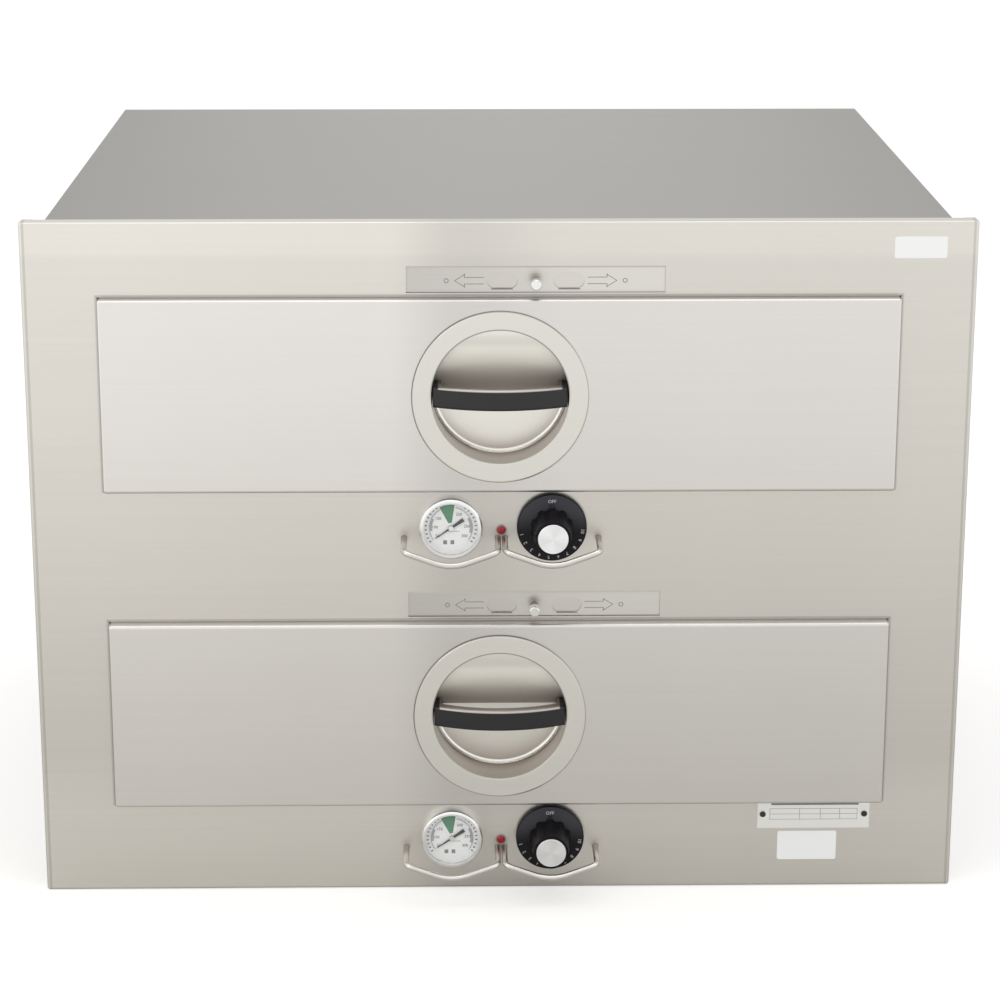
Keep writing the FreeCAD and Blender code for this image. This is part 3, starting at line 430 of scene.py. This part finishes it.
metals = [
    brushed_steel("face_steel", (0.845, 0.815, 0.755), roughness=0.33, drift=face_drift),
    brushed_steel("drawer_steel", (0.785, 0.76, 0.725), roughness=0.32, contrast=0.04,
                  drift=drawer_drift),
    brushed_steel("vent_steel", (0.745, 0.725, 0.68), roughness=0.36, drift=strip_drift),
    brushed_steel("body_steel", (0.365, 0.35, 0.325), roughness=0.40, contrast=0.04,
                  grain=(4, 420, 420), bands=0.3, drift=crowned),
    brushed_steel("pull_steel", (0.76, 0.74, 0.69), roughness=0.38, contrast=0.03,
                  grain=(30, 900, 900), bands=0.2, relief=0.01 * MM, drift=seam_line,
                  shadow=(0.05, 0.03, 0.02)),
    # the pull's steel again, made brighter, with the painted light and shade of a dish
    brushed_steel("dish_steel", (0.95, 0.935, 0.87), roughness=0.30, contrast=0.008,
                  grain=(30, 900, 900), bands=0.2, relief=0.002 * MM, drift=pressed_dish,
                  shadow=(0.16, 0.10, 0.075), dull=dish_gloss),
    mill_metal("liner_steel", (0.52, 0.52, 0.51), roughness=0.42),
    mill_metal("pan_steel", (0.66, 0.66, 0.65), roughness=0.28, contrast=0.04),
    mill_metal("slide_steel", (0.52, 0.53, 0.54), roughness=0.36, speckle=140),
    mill_metal("clip_steel", (0.50, 0.50, 0.48), roughness=0.38),
    mill_metal("thermostat_metal", (0.56, 0.54, 0.50), roughness=0.40),
    mill_metal("shaft_steel", (0.58, 0.58, 0.57), roughness=0.30),
    mill_metal("screw_steel", (0.58, 0.58, 0.57), roughness=0.28),
    mill_metal("pin_steel", (0.80, 0.79, 0.76), roughness=0.16, contrast=0.03, drift=pin_neck),
    mill_metal("guard_wire", (0.70, 0.675, 0.63), roughness=0.32, contrast=0.03, drift=guard_leg),
    mill_metal("gauge_metal", (0.90, 0.90, 0.89), roughness=0.32, contrast=0.03),
    brushed_steel("plate_metal", (0.96, 0.97, 0.93), roughness=0.46, contrast=0.02),
]
finishes = {finish.name: finish for finish in metals}
print("metal finishes:", len(finishes))

# %% [markdown]
# ## Plastic, paint, glass and wool
# A moulded knob is not one black: its texture catches the light unevenly, and its skirt carries a
# painted sheen. Each of these is a colour that drifts a little, a roughness that drifts more, and a
# relief too fine to see as shape.


# %% Finishes that are not metal
ink_relief = 0.01 * MM


def moulded(name, colour, roughness=0.4, speckle=900.0, coat=0.0, drift=0.25, relief=0.04 * MM):
    """Plastic or paint: slight drift of tone, fine texture."""
    finish = Finish(name, Coat_Weight=coat)
    cloud = finish.noise((40, 40, 40), detail=2.0)
    texture = finish.noise((speckle,) * 3, detail=2.0)
    dark, bright = steel_colours(colour, drift)
    finish.set(Base_Color=finish.shade(cloud * 0.5 + texture * 0.5, dark, bright))
    finish.set(Roughness=roughness - 0.08 + texture * 0.16)
    finish.bump(texture, relief)
    return finish


def printed(name, colour, drift=0.1):
    """Flat paint or ink of a printed mark."""
    return moulded(name, colour, roughness=0.5, drift=drift, relief=ink_relief)


plain_finishes = [
    printed("needle_black", (0.025, 0.025, 0.027), drift=0.25),
    moulded("rivet_black", (0.02, 0.02, 0.022), roughness=0.35),
    moulded("lamp_body", (0.36, 0.31, 0.28)),
    moulded("lamp_red", (0.36, 0.006, 0.022), roughness=0.22, coat=0.2),
    printed("dial_white", (0.98, 0.985, 0.975), drift=0.02),
    moulded("element_sheath", (0.07, 0.06, 0.055), roughness=0.55, drift=0.4),
    moulded("insulation", (0.62, 0.56, 0.38), roughness=0.95, speckle=500, relief=0.8 * MM),
    moulded("block_plastic", (0.62, 0.60, 0.52), roughness=0.45, drift=0.08),
    moulded("label_paper", (0.97, 0.985, 0.975), roughness=0.55, drift=0.01, relief=ink_relief),
    printed("dial_green", (0.09, 0.27, 0.15), drift=0.08),
    printed("print_grey", (0.26, 0.26, 0.27)),
    printed("print_pale", (0.44, 0.44, 0.46)),
    printed("print_bright", (0.66, 0.66, 0.67)),
    # grey of the seals, which are partly seal and partly painted shade in the gaps
    moulded("shade_seal_grey", (0.62, 0.60, 0.56), roughness=0.7, drift=0.05, relief=0.02 * MM),
    # grey of the etched arrows and of the painted shade under each slot
    moulded("etch_and_shade_grey", (0.24, 0.22, 0.19), roughness=0.55, drift=0.1, relief=ink_relief),
]
finishes.update({finish.name: finish for finish in plain_finishes})
print("plastic and paint finishes ready:", len(finishes))


# %% Black knobs
skin_grain = (900, 900, 900)
skin_relief = 0.03 * MM


def faded_knob():
    """Black plastic: darker on the grip, and a painted sheen turns the skirt grey over its upper
    half.
    """
    least_sheen, sheen_grey = 0.12, (0.062, 0.060, 0.069)
    finish = Finish("knob_black", Specular_IOR_Level=0.13)
    _, y, z = finish.place()
    _, back, _ = finish.facing()
    up = finish.above(z, knob_at["lower"].z)
    skirt = finish.ease(y, skirt_front - 3 * MM, skirt_front - 1 * MM)
    skirt = finish.ease(-back, 0.90, 0.97) * skirt
    # painted sheen: the skirt turns grey towards its top
    painted_sheen = skirt * (least_sheen + finish.ease(up, -6 * MM, 14 * MM) * (1.0 - least_sheen))
    texture = finish.noise(skin_grain, detail=2.0)
    black = finish.shade(texture, (0.006, 0.005, 0.006), (0.012, 0.011, 0.013))
    finish.set(Base_Color=finish.shade(painted_sheen, black, sheen_grey))
    finish.set(Roughness=0.34 + texture * 0.14)
    finish.bump(texture, skin_relief)
    return finish


finishes["knob_black"] = faded_knob()
print("knob skirts ahead of the face by", round((face_y - skirt_front) / MM, 1), "mm")


# %% Bright upper face of the grips
def bowed_grip():
    """Black plastic on the front of a bar whose upper face is bare metal between its two ends."""
    bare_metal, bare_half = (0.46, 0.42, 0.395), 48.5 * MM
    finish = Finish("grip_black")
    _, _, up = finish.facing()
    x = finish.place()[0]
    bare = finish.ease(up, 0.22, 0.45) * finish.ease(x.do("ABSOLUTE"), bare_half, bare_half - MM)
    texture = finish.noise(skin_grain, detail=2.0)
    black = finish.shade(texture, (0.008, 0.007, 0.008), (0.013, 0.012, 0.013))
    finish.set(Base_Color=finish.shade(bare, black, bare_metal), Metallic=bare)
    finish.set(Roughness=0.28 + texture * 0.16)
    finish.bump(texture, skin_relief)
    return finish


finishes["grip_black"] = bowed_grip()
print("grip finish: black in front, bare metal above")


# %% Clear glass of the gauges
def clear_glass():
    """Thin flat glass: nearly all see-through, with a clean gloss."""
    finish = Finish("clear_glass", Base_Color=(0.9, 0.93, 0.93))
    dust = finish.noise((300, 300, 300), detail=2.0)
    finish.set(Roughness=0.02 + dust * 0.04, Alpha=0.02 + dust * 0.03)
    return finish


finishes["clear_glass"] = clear_glass()
print("gauge glass ready")


# %% Spun cap of the knobs
def spun_disc():
    """Aluminium turned on a lathe: fine rings, and soft fans of painted highlight round each cap's
    middle.
    """
    ring_pitch, fans_round, fan_turn = 9000.0, 3.0, 0.8
    dull, bright = (0.86, 0.86, 0.87), (0.99, 0.99, 1.0)
    finish = Finish("cap_aluminium", Metallic=1.0)
    x, _, z = finish.place()
    across = x - knob_at["upper"].x
    up = finish.above(z, knob_at["lower"].z)
    radius = (across * across + up * up).do("SQRT")
    rings = (radius * ring_pitch).do("SINE") * 0.5 + 0.5
    # painted highlight in soft fans round the middle, fixed to the cap
    fans = (up.do("ARCTAN2", across) * fans_round + fan_turn).do("SINE") * 0.5 + 0.5
    finish.set(Base_Color=finish.shade(rings * 0.25 + fans * 0.75, dull, bright))
    finish.set(Roughness=0.26 + rings * 0.05)
    finish.bump(rings, 0.006 * MM)
    return finish


finishes["cap_aluminium"] = spun_disc()
slot_of = {part["node"]: part["material_slot"] for part in frame["record"]["subparts"]}
# each dish takes the brighter copy of the pull steel, with its painted light and shade
own_finish = {tier + "_pull_dish": "dish_steel" for tier in tiers}
for name, thing in nodes.items():
    thing.data.materials.clear()
    thing.data.materials.append(finishes[own_finish.get(name, slot_of[name])].material)
print("CAD nodes dressed:", len(slot_of))

# %% [markdown]
# ## Small flat pieces
# Print, labels and etched marks are all thin flat pieces. Each is drawn lying on its back in the
# XY plane, where angles and sizes are easy to think about, and then stood up against the surface
# that carries it. Standing up is one quarter turn about X: what was up in the drawing becomes up
# on the object, and its front looks at the viewer.


# %% Tools for flat pieces
full_turn = math.radians(360)


def start_clean():
    """Leave edit mode and select nothing."""
    if bpy.context.mode != "OBJECT":
        bpy.ops.object.mode_set(mode="OBJECT")
    bpy.ops.object.select_all(action="DESELECT")


def pick(test, kind="faces"):
    """In edit mode, select the faces, edges or vertices that pass a test."""
    modes = {"faces": "FACE", "edges": "EDGE", "verts": "VERT"}
    bpy.ops.mesh.select_mode(type=modes[kind])
    bpy.ops.mesh.select_all(action="DESELECT")
    mesh = bmesh.from_edit_mesh(bpy.context.object.data)
    for element in getattr(mesh, kind):
        element.select_set(test(element))
    bmesh.update_edit_mesh(bpy.context.object.data)


def stand_up(piece, at):
    """Turn a drawing from the XY plane to face the viewer, and fix its place in its mesh."""
    start_clean()
    piece.select_set(True)
    bpy.context.view_layer.objects.active = piece
    piece.rotation_euler = (math.pi / 2, 0, 0)
    piece.location = at
    bpy.ops.object.transform_apply(location=True, rotation=True, scale=True)


def thicken(depth):
    """In edit mode, pull everything flat up by a thickness and close it underneath."""
    bpy.ops.mesh.select_all(action="SELECT")
    bpy.ops.mesh.extrude_region_move(TRANSFORM_OT_translate={"value": (0, 0, depth)})
    bpy.ops.mesh.select_all(action="SELECT")
    bpy.ops.mesh.normals_make_consistent(inside=False)


def weld():
    """In edit mode, merge points that lie on each other and turn all faces outwards."""
    bpy.ops.mesh.select_all(action="SELECT")
    bpy.ops.mesh.remove_doubles(threshold=0.001 * MM)
    bpy.ops.mesh.normals_make_consistent(inside=False)


def copy_of(piece):
    """A copy with its own mesh."""
    twin = piece.copy()
    twin.data = piece.data.copy()
    bpy.context.scene.collection.objects.link(twin)
    return twin


def finish_piece(piece, name, finish, body):
    """Name a piece, dress it and let it ride on a body."""
    piece.name = name
    piece.data.name = name
    piece.data.materials.clear()
    piece.data.materials.append(finishes[finish].material)
    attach(piece, body)


def one_piece(parts):
    """Join several objects into the first."""
    start_clean()
    for part in parts:
        part.select_set(True)
    bpy.context.view_layer.objects.active = parts[0]
    if len(parts) > 1:
        bpy.ops.object.join()
    return bpy.context.view_layer.objects.active


def card(width, height, depth, corner=0.0, centre=(0, 0), turn=0.0):
    """Flat rectangle with round corners, lying in the XY plane and turned about its own centre."""
    start_clean()
    bpy.ops.mesh.primitive_plane_add(size=1.0)
    piece = bpy.context.object
    piece.scale = (width, height, 1)
    bpy.ops.object.transform_apply(scale=True)
    bpy.ops.object.mode_set(mode="EDIT")
    if corner > 0:
        bpy.ops.mesh.select_all(action="SELECT")
        bpy.ops.mesh.bevel(offset=corner, segments=5, affect="VERTICES")
    thicken(depth)
    bpy.ops.object.mode_set(mode="OBJECT")
    piece.rotation_euler = (0, 0, turn)
    piece.location = (centre[0], centre[1], 0)
    bpy.ops.object.transform_apply(location=True, rotation=True)
    return piece


def sector(inner, outer, start, sweep, depth, steps=24):
    """Part of a flat ring, from a start angle through a sweep, by spinning one radial edge."""
    start_clean()
    width = outer - inner
    bpy.ops.mesh.primitive_plane_add(size=width, location=((inner + outer) / 2, 0, 0))
    piece = bpy.context.object
    bpy.ops.object.transform_apply(location=True)
    bpy.ops.object.mode_set(mode="EDIT")
    pick(lambda vert: vert.co.y > 0, "verts")
    bpy.ops.mesh.delete(type="VERT")
    bpy.ops.mesh.select_all(action="SELECT")
    bpy.ops.transform.translate(value=(0, width / 2, 0))
    bpy.ops.mesh.spin(steps=steps, angle=sweep, center=(0, 0, 0), axis=(0, 0, 1))
    weld()
    thicken(depth)
    bpy.ops.object.mode_set(mode="OBJECT")
    sides = [vert.co.y for vert in piece.data.vertices]
    anticlockwise = max(sides) > -min(sides)
    piece.rotation_euler = (0, 0, start if anticlockwise else start + sweep)
    bpy.ops.object.transform_apply(rotation=True)
    return piece


def lettering(words, size, centre, turn=0.0, depth=0.06 * MM):
    """Raised print of a number or word, centred on a point and turned about it."""
    start_clean()
    bpy.ops.object.text_add()
    text = bpy.context.object
    text.data.body = words
    text.data.size = size
    text.data.align_x = "CENTER"
    text.data.align_y = "CENTER"
    text.data.extrude = depth / 2
    text.data.resolution_u = 3
    bpy.ops.object.convert(target="MESH")
    text = bpy.context.object
    bpy.ops.object.mode_set(mode="EDIT")
    weld()
    bpy.ops.object.mode_set(mode="OBJECT")
    text.rotation_euler = (0, 0, turn)
    text.location = (centre[0], centre[1], depth / 2)
    bpy.ops.object.transform_apply(location=True, rotation=True)
    return text


print("tools for flat pieces ready")

# %% [markdown]
# ## Gauge faces
# The dial is a white disc. Its print is a green wedge for the working range, a ring of short
# strokes, plain numbers, and two grey arcs left and right that stand for a second scale. The
# print is made once and copied to the lower gauge.

# %% Draw the dial print
print_t = 0.05 * MM
print_sink = 0.02 * MM
dial_front = low("gauge_dials").y
scale_from, scale_to = -35, 215


def on_dial(degrees, reach):
    """Point of the dial at an angle, counted anticlockwise from the right."""
    angle = math.radians(degrees)
    return (reach * math.cos(angle), reach * math.sin(angle))


def dial_arc(inner, outer, start, sweep):
    """Part of a ring on the dial, with its angles in degrees."""
    return sector(inner * MM, outer * MM, math.radians(start), math.radians(sweep), print_t)


def dial_stroke(length, width, degrees, reach):
    """Small bar on the dial that points at the hub."""
    return card(length * MM, width * MM, print_t, centre=on_dial(degrees, reach * MM),
                turn=math.radians(degrees))


def dial_strokes():
    """Outer scale: a block for every ten degrees, just inside the bezel, and none by the wedge."""
    angles = [degrees for degrees in range(scale_from, scale_to + 1, 10) if not 60 < degrees < 122]
    return one_piece([dial_stroke(1.9, 1.1, degrees, 19.8) for degrees in angles])


def dial_line():
    """Thin circle of the inner scale with fine strokes on it."""
    circle = [dial_arc(16.7, 17.1, 120, 95), dial_arc(16.7, 17.1, scale_from, 112)]
    angles = [degrees for degrees in range(scale_from, scale_to + 1, 5) if not 76 < degrees < 120]
    return one_piece(circle + [dial_stroke(1.1, 0.25, degrees, 17.4) for degrees in angles])


def dial_numbers():
    """Plain numbers inside the strokes, in steps of fifty."""
    size, reach = 3.3 * MM, 12.6 * MM
    angles = (213, 178, 143, 60, 5, -33)
    return one_piece([lettering(str(50 * step), size, on_dial(degrees, reach), depth=print_t)
                      for step, degrees in enumerate(angles, start=1)])


def dial_arcs():
    """Two broad grey arcs of the second scale and a short rule."""
    left = dial_arc(14.8, 16.6, 153, 37)
    right = dial_arc(14.8, 16.6, -16, 46)
    rule = card(9.0 * MM, 0.5 * MM, print_t, centre=(2.4 * MM, -3.0 * MM))
    return one_piece([left, right, rule])


def dial_fields():
    """Two small grey fields below the hub."""
    return one_piece([card(3.0 * MM, 3.3 * MM, print_t, centre=(x * MM, -12.0 * MM))
                      for x in (-4.6, 1.1)])


def dial_wedge():
    """Green working range, a little left of upright."""
    return dial_arc(4.0, 19.0, 81, 37)


dial_marks = [("wedge", "dial_green", dial_wedge), ("strokes", "print_grey", dial_strokes),
              ("line", "print_grey", dial_line), ("numbers", "needle_black", dial_numbers),
              ("arcs", "print_pale", dial_arcs), ("fields", "print_grey", dial_fields)]
for mark, finish, draw in dial_marks:
    first = draw()
    second = copy_of(first)
    for tier, piece in zip(tiers, (first, second)):
        stand_up(piece, (gauge_at[tier].x, dial_front - print_sink, gauge_at[tier].z))
        finish_piece(piece, tier + "_gauge_" + mark, finish, "root")
    print("gauge", mark, "faces", len(first.data.polygons))

# %% [markdown]
# ## Knob numbers
# The skirt of the knob carries its scale. At rest the word for off stands at the top, and turning
# the knob clockwise brings the numbers up one after another, so they are set out anticlockwise.
# They turn with the knob.

# %% Print the knob skirts
skirt_sink = 0.01 * MM
off_reach = 21.6 * MM
number_reach = 24.2 * MM
first_number, number_step = 193.0, 17.8


def skirt_scale():
    """The word for off at the top and ten plain numbers round the lower half."""
    marks = [lettering("OFF", 3.8 * MM, (0, off_reach))]
    for number in range(1, 11):
        degrees = first_number + number_step * (number - 1)
        turn = math.radians(degrees) - math.pi / 2
        marks.append(lettering(str(number), 4.0 * MM, on_dial(degrees, number_reach), turn=turn))
    return one_piece(marks)


scale = skirt_scale()
for tier, piece in zip(tiers, (scale, copy_of(scale))):
    stand_up(piece, (knob_at[tier].x, skirt_front + skirt_sink, knob_at[tier].z))
    finish_piece(piece, tier + "_knob_scale", "print_bright", tier + "_knob")
print("knob scales at y", round(skirt_front / MM, 2))

# %% [markdown]
# ## Pointers and hubs
# A small black tab on each skirt points at the chosen number, and a bright rivet head holds each
# needle. Both are too small to need more than a thick flat shape: the tab is a card with round
# corners, and the head is one radial edge spun through a full turn. Each rides on what it marks.

# %% Mark the pointers
pointer_w, pointer_h, pointer_t = 2.6 * MM, 5.0 * MM, 1.6 * MM
pointer_reach = 17.6 * MM
pointer = card(pointer_w, pointer_h, pointer_t, corner=0.6 * MM, centre=(0, pointer_reach))
for tier, piece in zip(tiers, (pointer, copy_of(pointer))):
    stand_up(piece, (knob_at[tier].x, skirt_front + skirt_sink, knob_at[tier].z))
    finish_piece(piece, tier + "_knob_pointer", "rivet_black", tier + "_knob")
print("pointer faces", len(pointer.data.polygons))

# %% Cap the needles
needle_front = {tier: low(tier + "_gauge_needle").y for tier in tiers}
hub_r, hub_t = 2.0 * MM, 0.3 * MM
hub = sector(0.0, hub_r, 0.0, full_turn, hub_t)
for tier, piece in zip(tiers, (hub, copy_of(hub))):
    stand_up(piece, (gauge_at[tier].x, needle_front[tier] + print_sink, gauge_at[tier].z))
    finish_piece(piece, tier + "_needle_hub", "gauge_metal", tier + "_needle")
print("hub in front of the needle at y", round(needle_front["upper"] / MM, 2))

# %% [markdown]
# ## Damper arrows
# Beside each oblong slot of the damper a small outline arrow points outwards, and a tiny ring
# ends it. Under each slot a dark bar is painted shade. They are etched in the strip, so they move
# with it.

# %% Etch the damper strips
strip_front = {tier: low(tier + "_vent_slide").y for tier in tiers}
strip_sink = 0.01 * MM
etch_w, etch_t = 0.5 * MM, 0.04 * MM
head_slope = math.radians(-32)


def etched(width, height, x, up, turn=0.0):
    """One etched bar of a damper strip, placed from the strip's middle, in millimetres."""
    return card(width, height, etch_t, centre=(x * MM, up * MM), turn=turn)


def outline_arrow(side):
    """Long slim arrow drawn as an outline: two rails, a head of two strokes and a ring at its tip,
    and under it a dark bar of painted shade along the foot of the oblong slot."""
    rail_l, barb_l, step_h = 15.0 * MM, 9.5 * MM, 3.0 * MM
    ring_inner, ring_outer, ring_x = 1.3 * MM, 1.9 * MM, 69.0 * MM
    slot_shade_l, slot_shade_h = 17.0 * MM, 0.9 * MM
    parts = []
    for level in (-1, 1):
        slope = side * level * head_slope
        parts += [etched(rail_l, etch_w, side * 47.5, level * 2.6),
                  etched(barb_l, etch_w, side * 58.6, level * 2.5, turn=slope),
                  etched(etch_w, step_h, side * 55.0, level * 3.9)]
    ring = sector(ring_inner, ring_outer, 0.0, full_turn, etch_t)
    ring.location = (side * ring_x, 0, 0)
    # the last bar is painted shade along the foot of the oblong slot
    return parts + [ring, etched(slot_shade_l, slot_shade_h, side * 26.0, -6.6)]


arrows = one_piece(outline_arrow(-1) + outline_arrow(1))
start_clean()
arrows.select_set(True)
bpy.ops.object.transform_apply(location=True)
for tier, piece in zip(tiers, (arrows, copy_of(arrows))):
    stand_up(piece, (vent_at[tier].x, strip_front[tier] - strip_sink, vent_at[tier].z))
    finish_piece(piece, tier + "_vent_arrows", "etch_and_shade_grey", tier + "_vent")
print("damper arrows", len(arrows.data.polygons), "faces")

# %% [markdown]
# ## Seals
# A grey line runs along the top of each damper strip and round each drawer front: the shade in a
# narrow gap. Thin strips of grey seal are laid in the gaps, just behind the face; they are partly a
# seal and partly painted shade for these lines. A narrow steel sill closes the foot of each damper
# notch.

# %% Lay the seals
skin_top = {tier: high(tier + "_drawer_skin").z for tier in tiers}
half_w = drawer_high.x
drawer_h = drawer_high.z - drawer_low.z
gap = 0.8 * MM
shade_seal_w, shade_seal_t = gap * 0.8, 0.4 * MM
shade_seal_across = 2 * (half_w + gap * 0.9)
shade_seal_upright = drawer_h + gap * 1.7
shade_seal_y = face_y + 0.75 * MM
notch_w, notch_h = 200.0 * MM, 23.5 * MM
vent_shade_seal_h, vent_sill_h = 1.2 * MM, 2.4 * MM
sill_y, sill_up = face_y + 0.60 * MM, 1.3 * MM
for tier in tiers:
    # seal strips round the drawer, partly seal and partly painted shade
    across = [card(shade_seal_across, shade_seal_w, shade_seal_t, centre=(0, side * (drawer_h + gap) / 2))
              for side in (-1, 1)]
    upright = [card(shade_seal_w, shade_seal_upright, shade_seal_t, centre=(side * (half_w + gap / 2), 0))
               for side in (-1, 1)]
    drawer_shade_seal = one_piece(across + upright)
    stand_up(drawer_shade_seal, (0, shade_seal_y, skin_top[tier] - drawer_h / 2))
    finish_piece(drawer_shade_seal, tier + "_drawer_seal", "shade_seal_grey", "root")
    notch_foot = skin_top[tier] + gap
    # seal strip above the damper, partly seal and partly painted shade
    vent_shade_seal = card(notch_w, vent_shade_seal_h, shade_seal_t)
    stand_up(vent_shade_seal, (vent_at[tier].x, shade_seal_y, notch_foot + notch_h - vent_shade_seal_h / 2))
    finish_piece(vent_shade_seal, tier + "_vent_seal", "shade_seal_grey", "root")
    vent_sill = card(notch_w, vent_sill_h, shade_seal_t)
    stand_up(vent_sill, (vent_at[tier].x, sill_y, notch_foot + sill_up))
    finish_piece(vent_sill, tier + "_vent_sill", "face_steel", "root")
print("seals laid at z", [round(skin_top[tier] / MM, 1) for tier in tiers])

# %% [markdown]
# ## Labels and plate
# Two paper labels and a metal plate sit on the face. They stay blank here, apart from the plain
# ruled fields that any such plate has.

# %% Stick the blank labels on and rule the plate
label_t = 0.15 * MM
label_corner = 1.5 * MM
label_places = {"lower_label": ((226.6 * MM, 274.5 * MM), (23.2 * MM, 48.1 * MM)),
                "upper_label": ((303.8 * MM, 344.4 * MM), (525.4 * MM, 542.4 * MM))}
for name, ((left, right), (foot, top)) in label_places.items():
    label = card(right - left, top - foot, label_t, corner=label_corner)
    stand_up(label, ((left + right) / 2, face_y - print_sink, (foot + top) / 2))
    finish_piece(label, name, "label_paper", "root")

plate_low, plate_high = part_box("data_plate")
plate_at = middle("data_plate")
plate_w = plate_high.x - plate_low.x
plate_h = plate_high.z - plate_low.z


def plate_rules():
    """Header bar and ruled fields, drawn round the plate's middle."""
    rule_w, header_h, field_h = 0.3 * MM, 1.6 * MM, 9.2 * MM
    wide = plate_w - 20 * MM
    top = plate_h / 2
    parts = [card(wide, header_h, etch_t, centre=(1 * MM, top - 3.6 * MM))]
    parts += [card(wide, rule_w, etch_t, centre=(0, top - down * MM)) for down in (7.6, 12.2, 16.8)]
    parts += [card(rule_w, field_h, etch_t, centre=(share * wide, top - 12.2 * MM))
              for share in (-0.5, -0.16, 0.08, 0.3, 0.5)]
    return one_piece(parts)


rules = plate_rules()
stand_up(rules, (plate_at.x, plate_low.y - strip_sink, plate_at.z))
finish_piece(rules, "plate_rules", "print_grey", "root")
print("labels and plate done")

# %% [markdown]
# ## Studio
# The picture was made in a white studio. A white floor carries the object and its soft shadow, a
# white surround lights the steel from all sides, and broad lamps above and in front give its
# folds an edge. Floor and surround are lifted towards white only where they are seen, mirrored by
# metal or looked at through glass, so they cast no extra light on the object.

# %% Floor and surround
bpy.context.scene.view_settings.view_transform = "Standard"
ray_kinds = ("Is Camera Ray", "Is Glossy Ray", "Is Transmission Ray")
world_light = 0.86
floor_size = 40.0
floor_drop = 0.3 * MM
floor_near, floor_far = (0.63, 0.62, 0.60), (0.88, 0.88, 0.88)
fade_from, fade_to = 0.5, 2.6
near_lift, far_loss, mirror_lift = 0.48, 0.23, 0.28


def studio_floor():
    """Wide white floor just under the object."""
    start_clean()
    bpy.ops.mesh.primitive_plane_add(size=floor_size, location=(0, 0, -floor_drop))
    floor = bpy.context.object
    floor.name = "studio_floor"
    finish = Finish("studio_floor", Roughness=0.9)
    x, y, _ = finish.place()
    away = finish.ease((x * x + y * y).do("SQRT"), fade_from, fade_to)
    finish.set(Base_Color=finish.shade(away, floor_near, floor_far))
    seen, mirrored, passed = [finish.add("ShaderNodeLightPath", output=ray) for ray in ray_kinds]
    lift = (seen + passed) * (near_lift - away * far_loss) + mirrored * away * mirror_lift
    lift = finish.add("ShaderNodeEmission", Color=(1.0, 1.0, 1.0), Strength=lift)
    total = finish.tree.nodes.new("ShaderNodeAddShader")
    finish.tree.links.new(finish.shader.outputs[0], total.inputs[0])
    finish.tree.links.new(lift.socket, total.inputs[1])
    output = finish.tree.nodes["Material Output"]
    finish.tree.links.new(total.outputs[0], output.inputs["Surface"])
    floor.data.materials.append(finish.material)
    return floor


def surround():
    """White world: full white where it is seen or mirrored, and softer where it lights."""
    world = bpy.data.worlds.new("studio_surround")
    bpy.context.scene.world = world
    world.use_nodes = True
    tree = world.node_tree
    back = tree.nodes["Background"]
    path = tree.nodes.new("ShaderNodeLightPath")
    seen, mirrored, passed = [Field(tree, path.outputs[ray]) for ray in ray_kinds]
    lift = 1.0 - world_light
    strength = world_light + seen.do("MAXIMUM", passed) * lift + mirrored * lift
    tree.links.new(strength.socket, back.inputs["Strength"])
    back.inputs["Color"].default_value = (1.0, 1.0, 1.0, 1.0)


def softbox(name, at, towards, size, watts, colour=(1, 1, 1)):
    """Broad square lamp that looks at a point."""
    lamp = bpy.data.lights.new(name, "AREA")
    lamp.shape = "RECTANGLE"
    lamp.size = size[0]
    lamp.size_y = size[1]
    lamp.energy = watts
    lamp.color = colour
    holder = bpy.data.objects.new(name, lamp)
    bpy.context.scene.collection.objects.link(holder)
    holder.location = at
    holder.rotation_mode = "QUATERNION"
    holder.rotation_quaternion = (Vector(towards) - Vector(at)).to_track_quat("-Z", "Y")


studio_floor()
surround()
heart = (0.0, 0.0, 0.25)
softbox("overhead_softbox", (0.0, -0.6, 2.6), heart, (2.4, 1.8), 12.0)
softbox("left_softbox", (-2.4, -2.0, 1.5), heart, (1.4, 1.8), 8.0, (1.0, 0.985, 0.95))
softbox("right_softbox", (2.6, -1.6, 1.3), heart, (1.2, 1.6), 4.0, (0.97, 0.985, 1.0))
print("studio ready")

# %% [markdown]
# ## Bring the scene up to date
# Last, the view layer is brought up to date.

# %% Bring the scene up to date
bpy.context.view_layer.update()
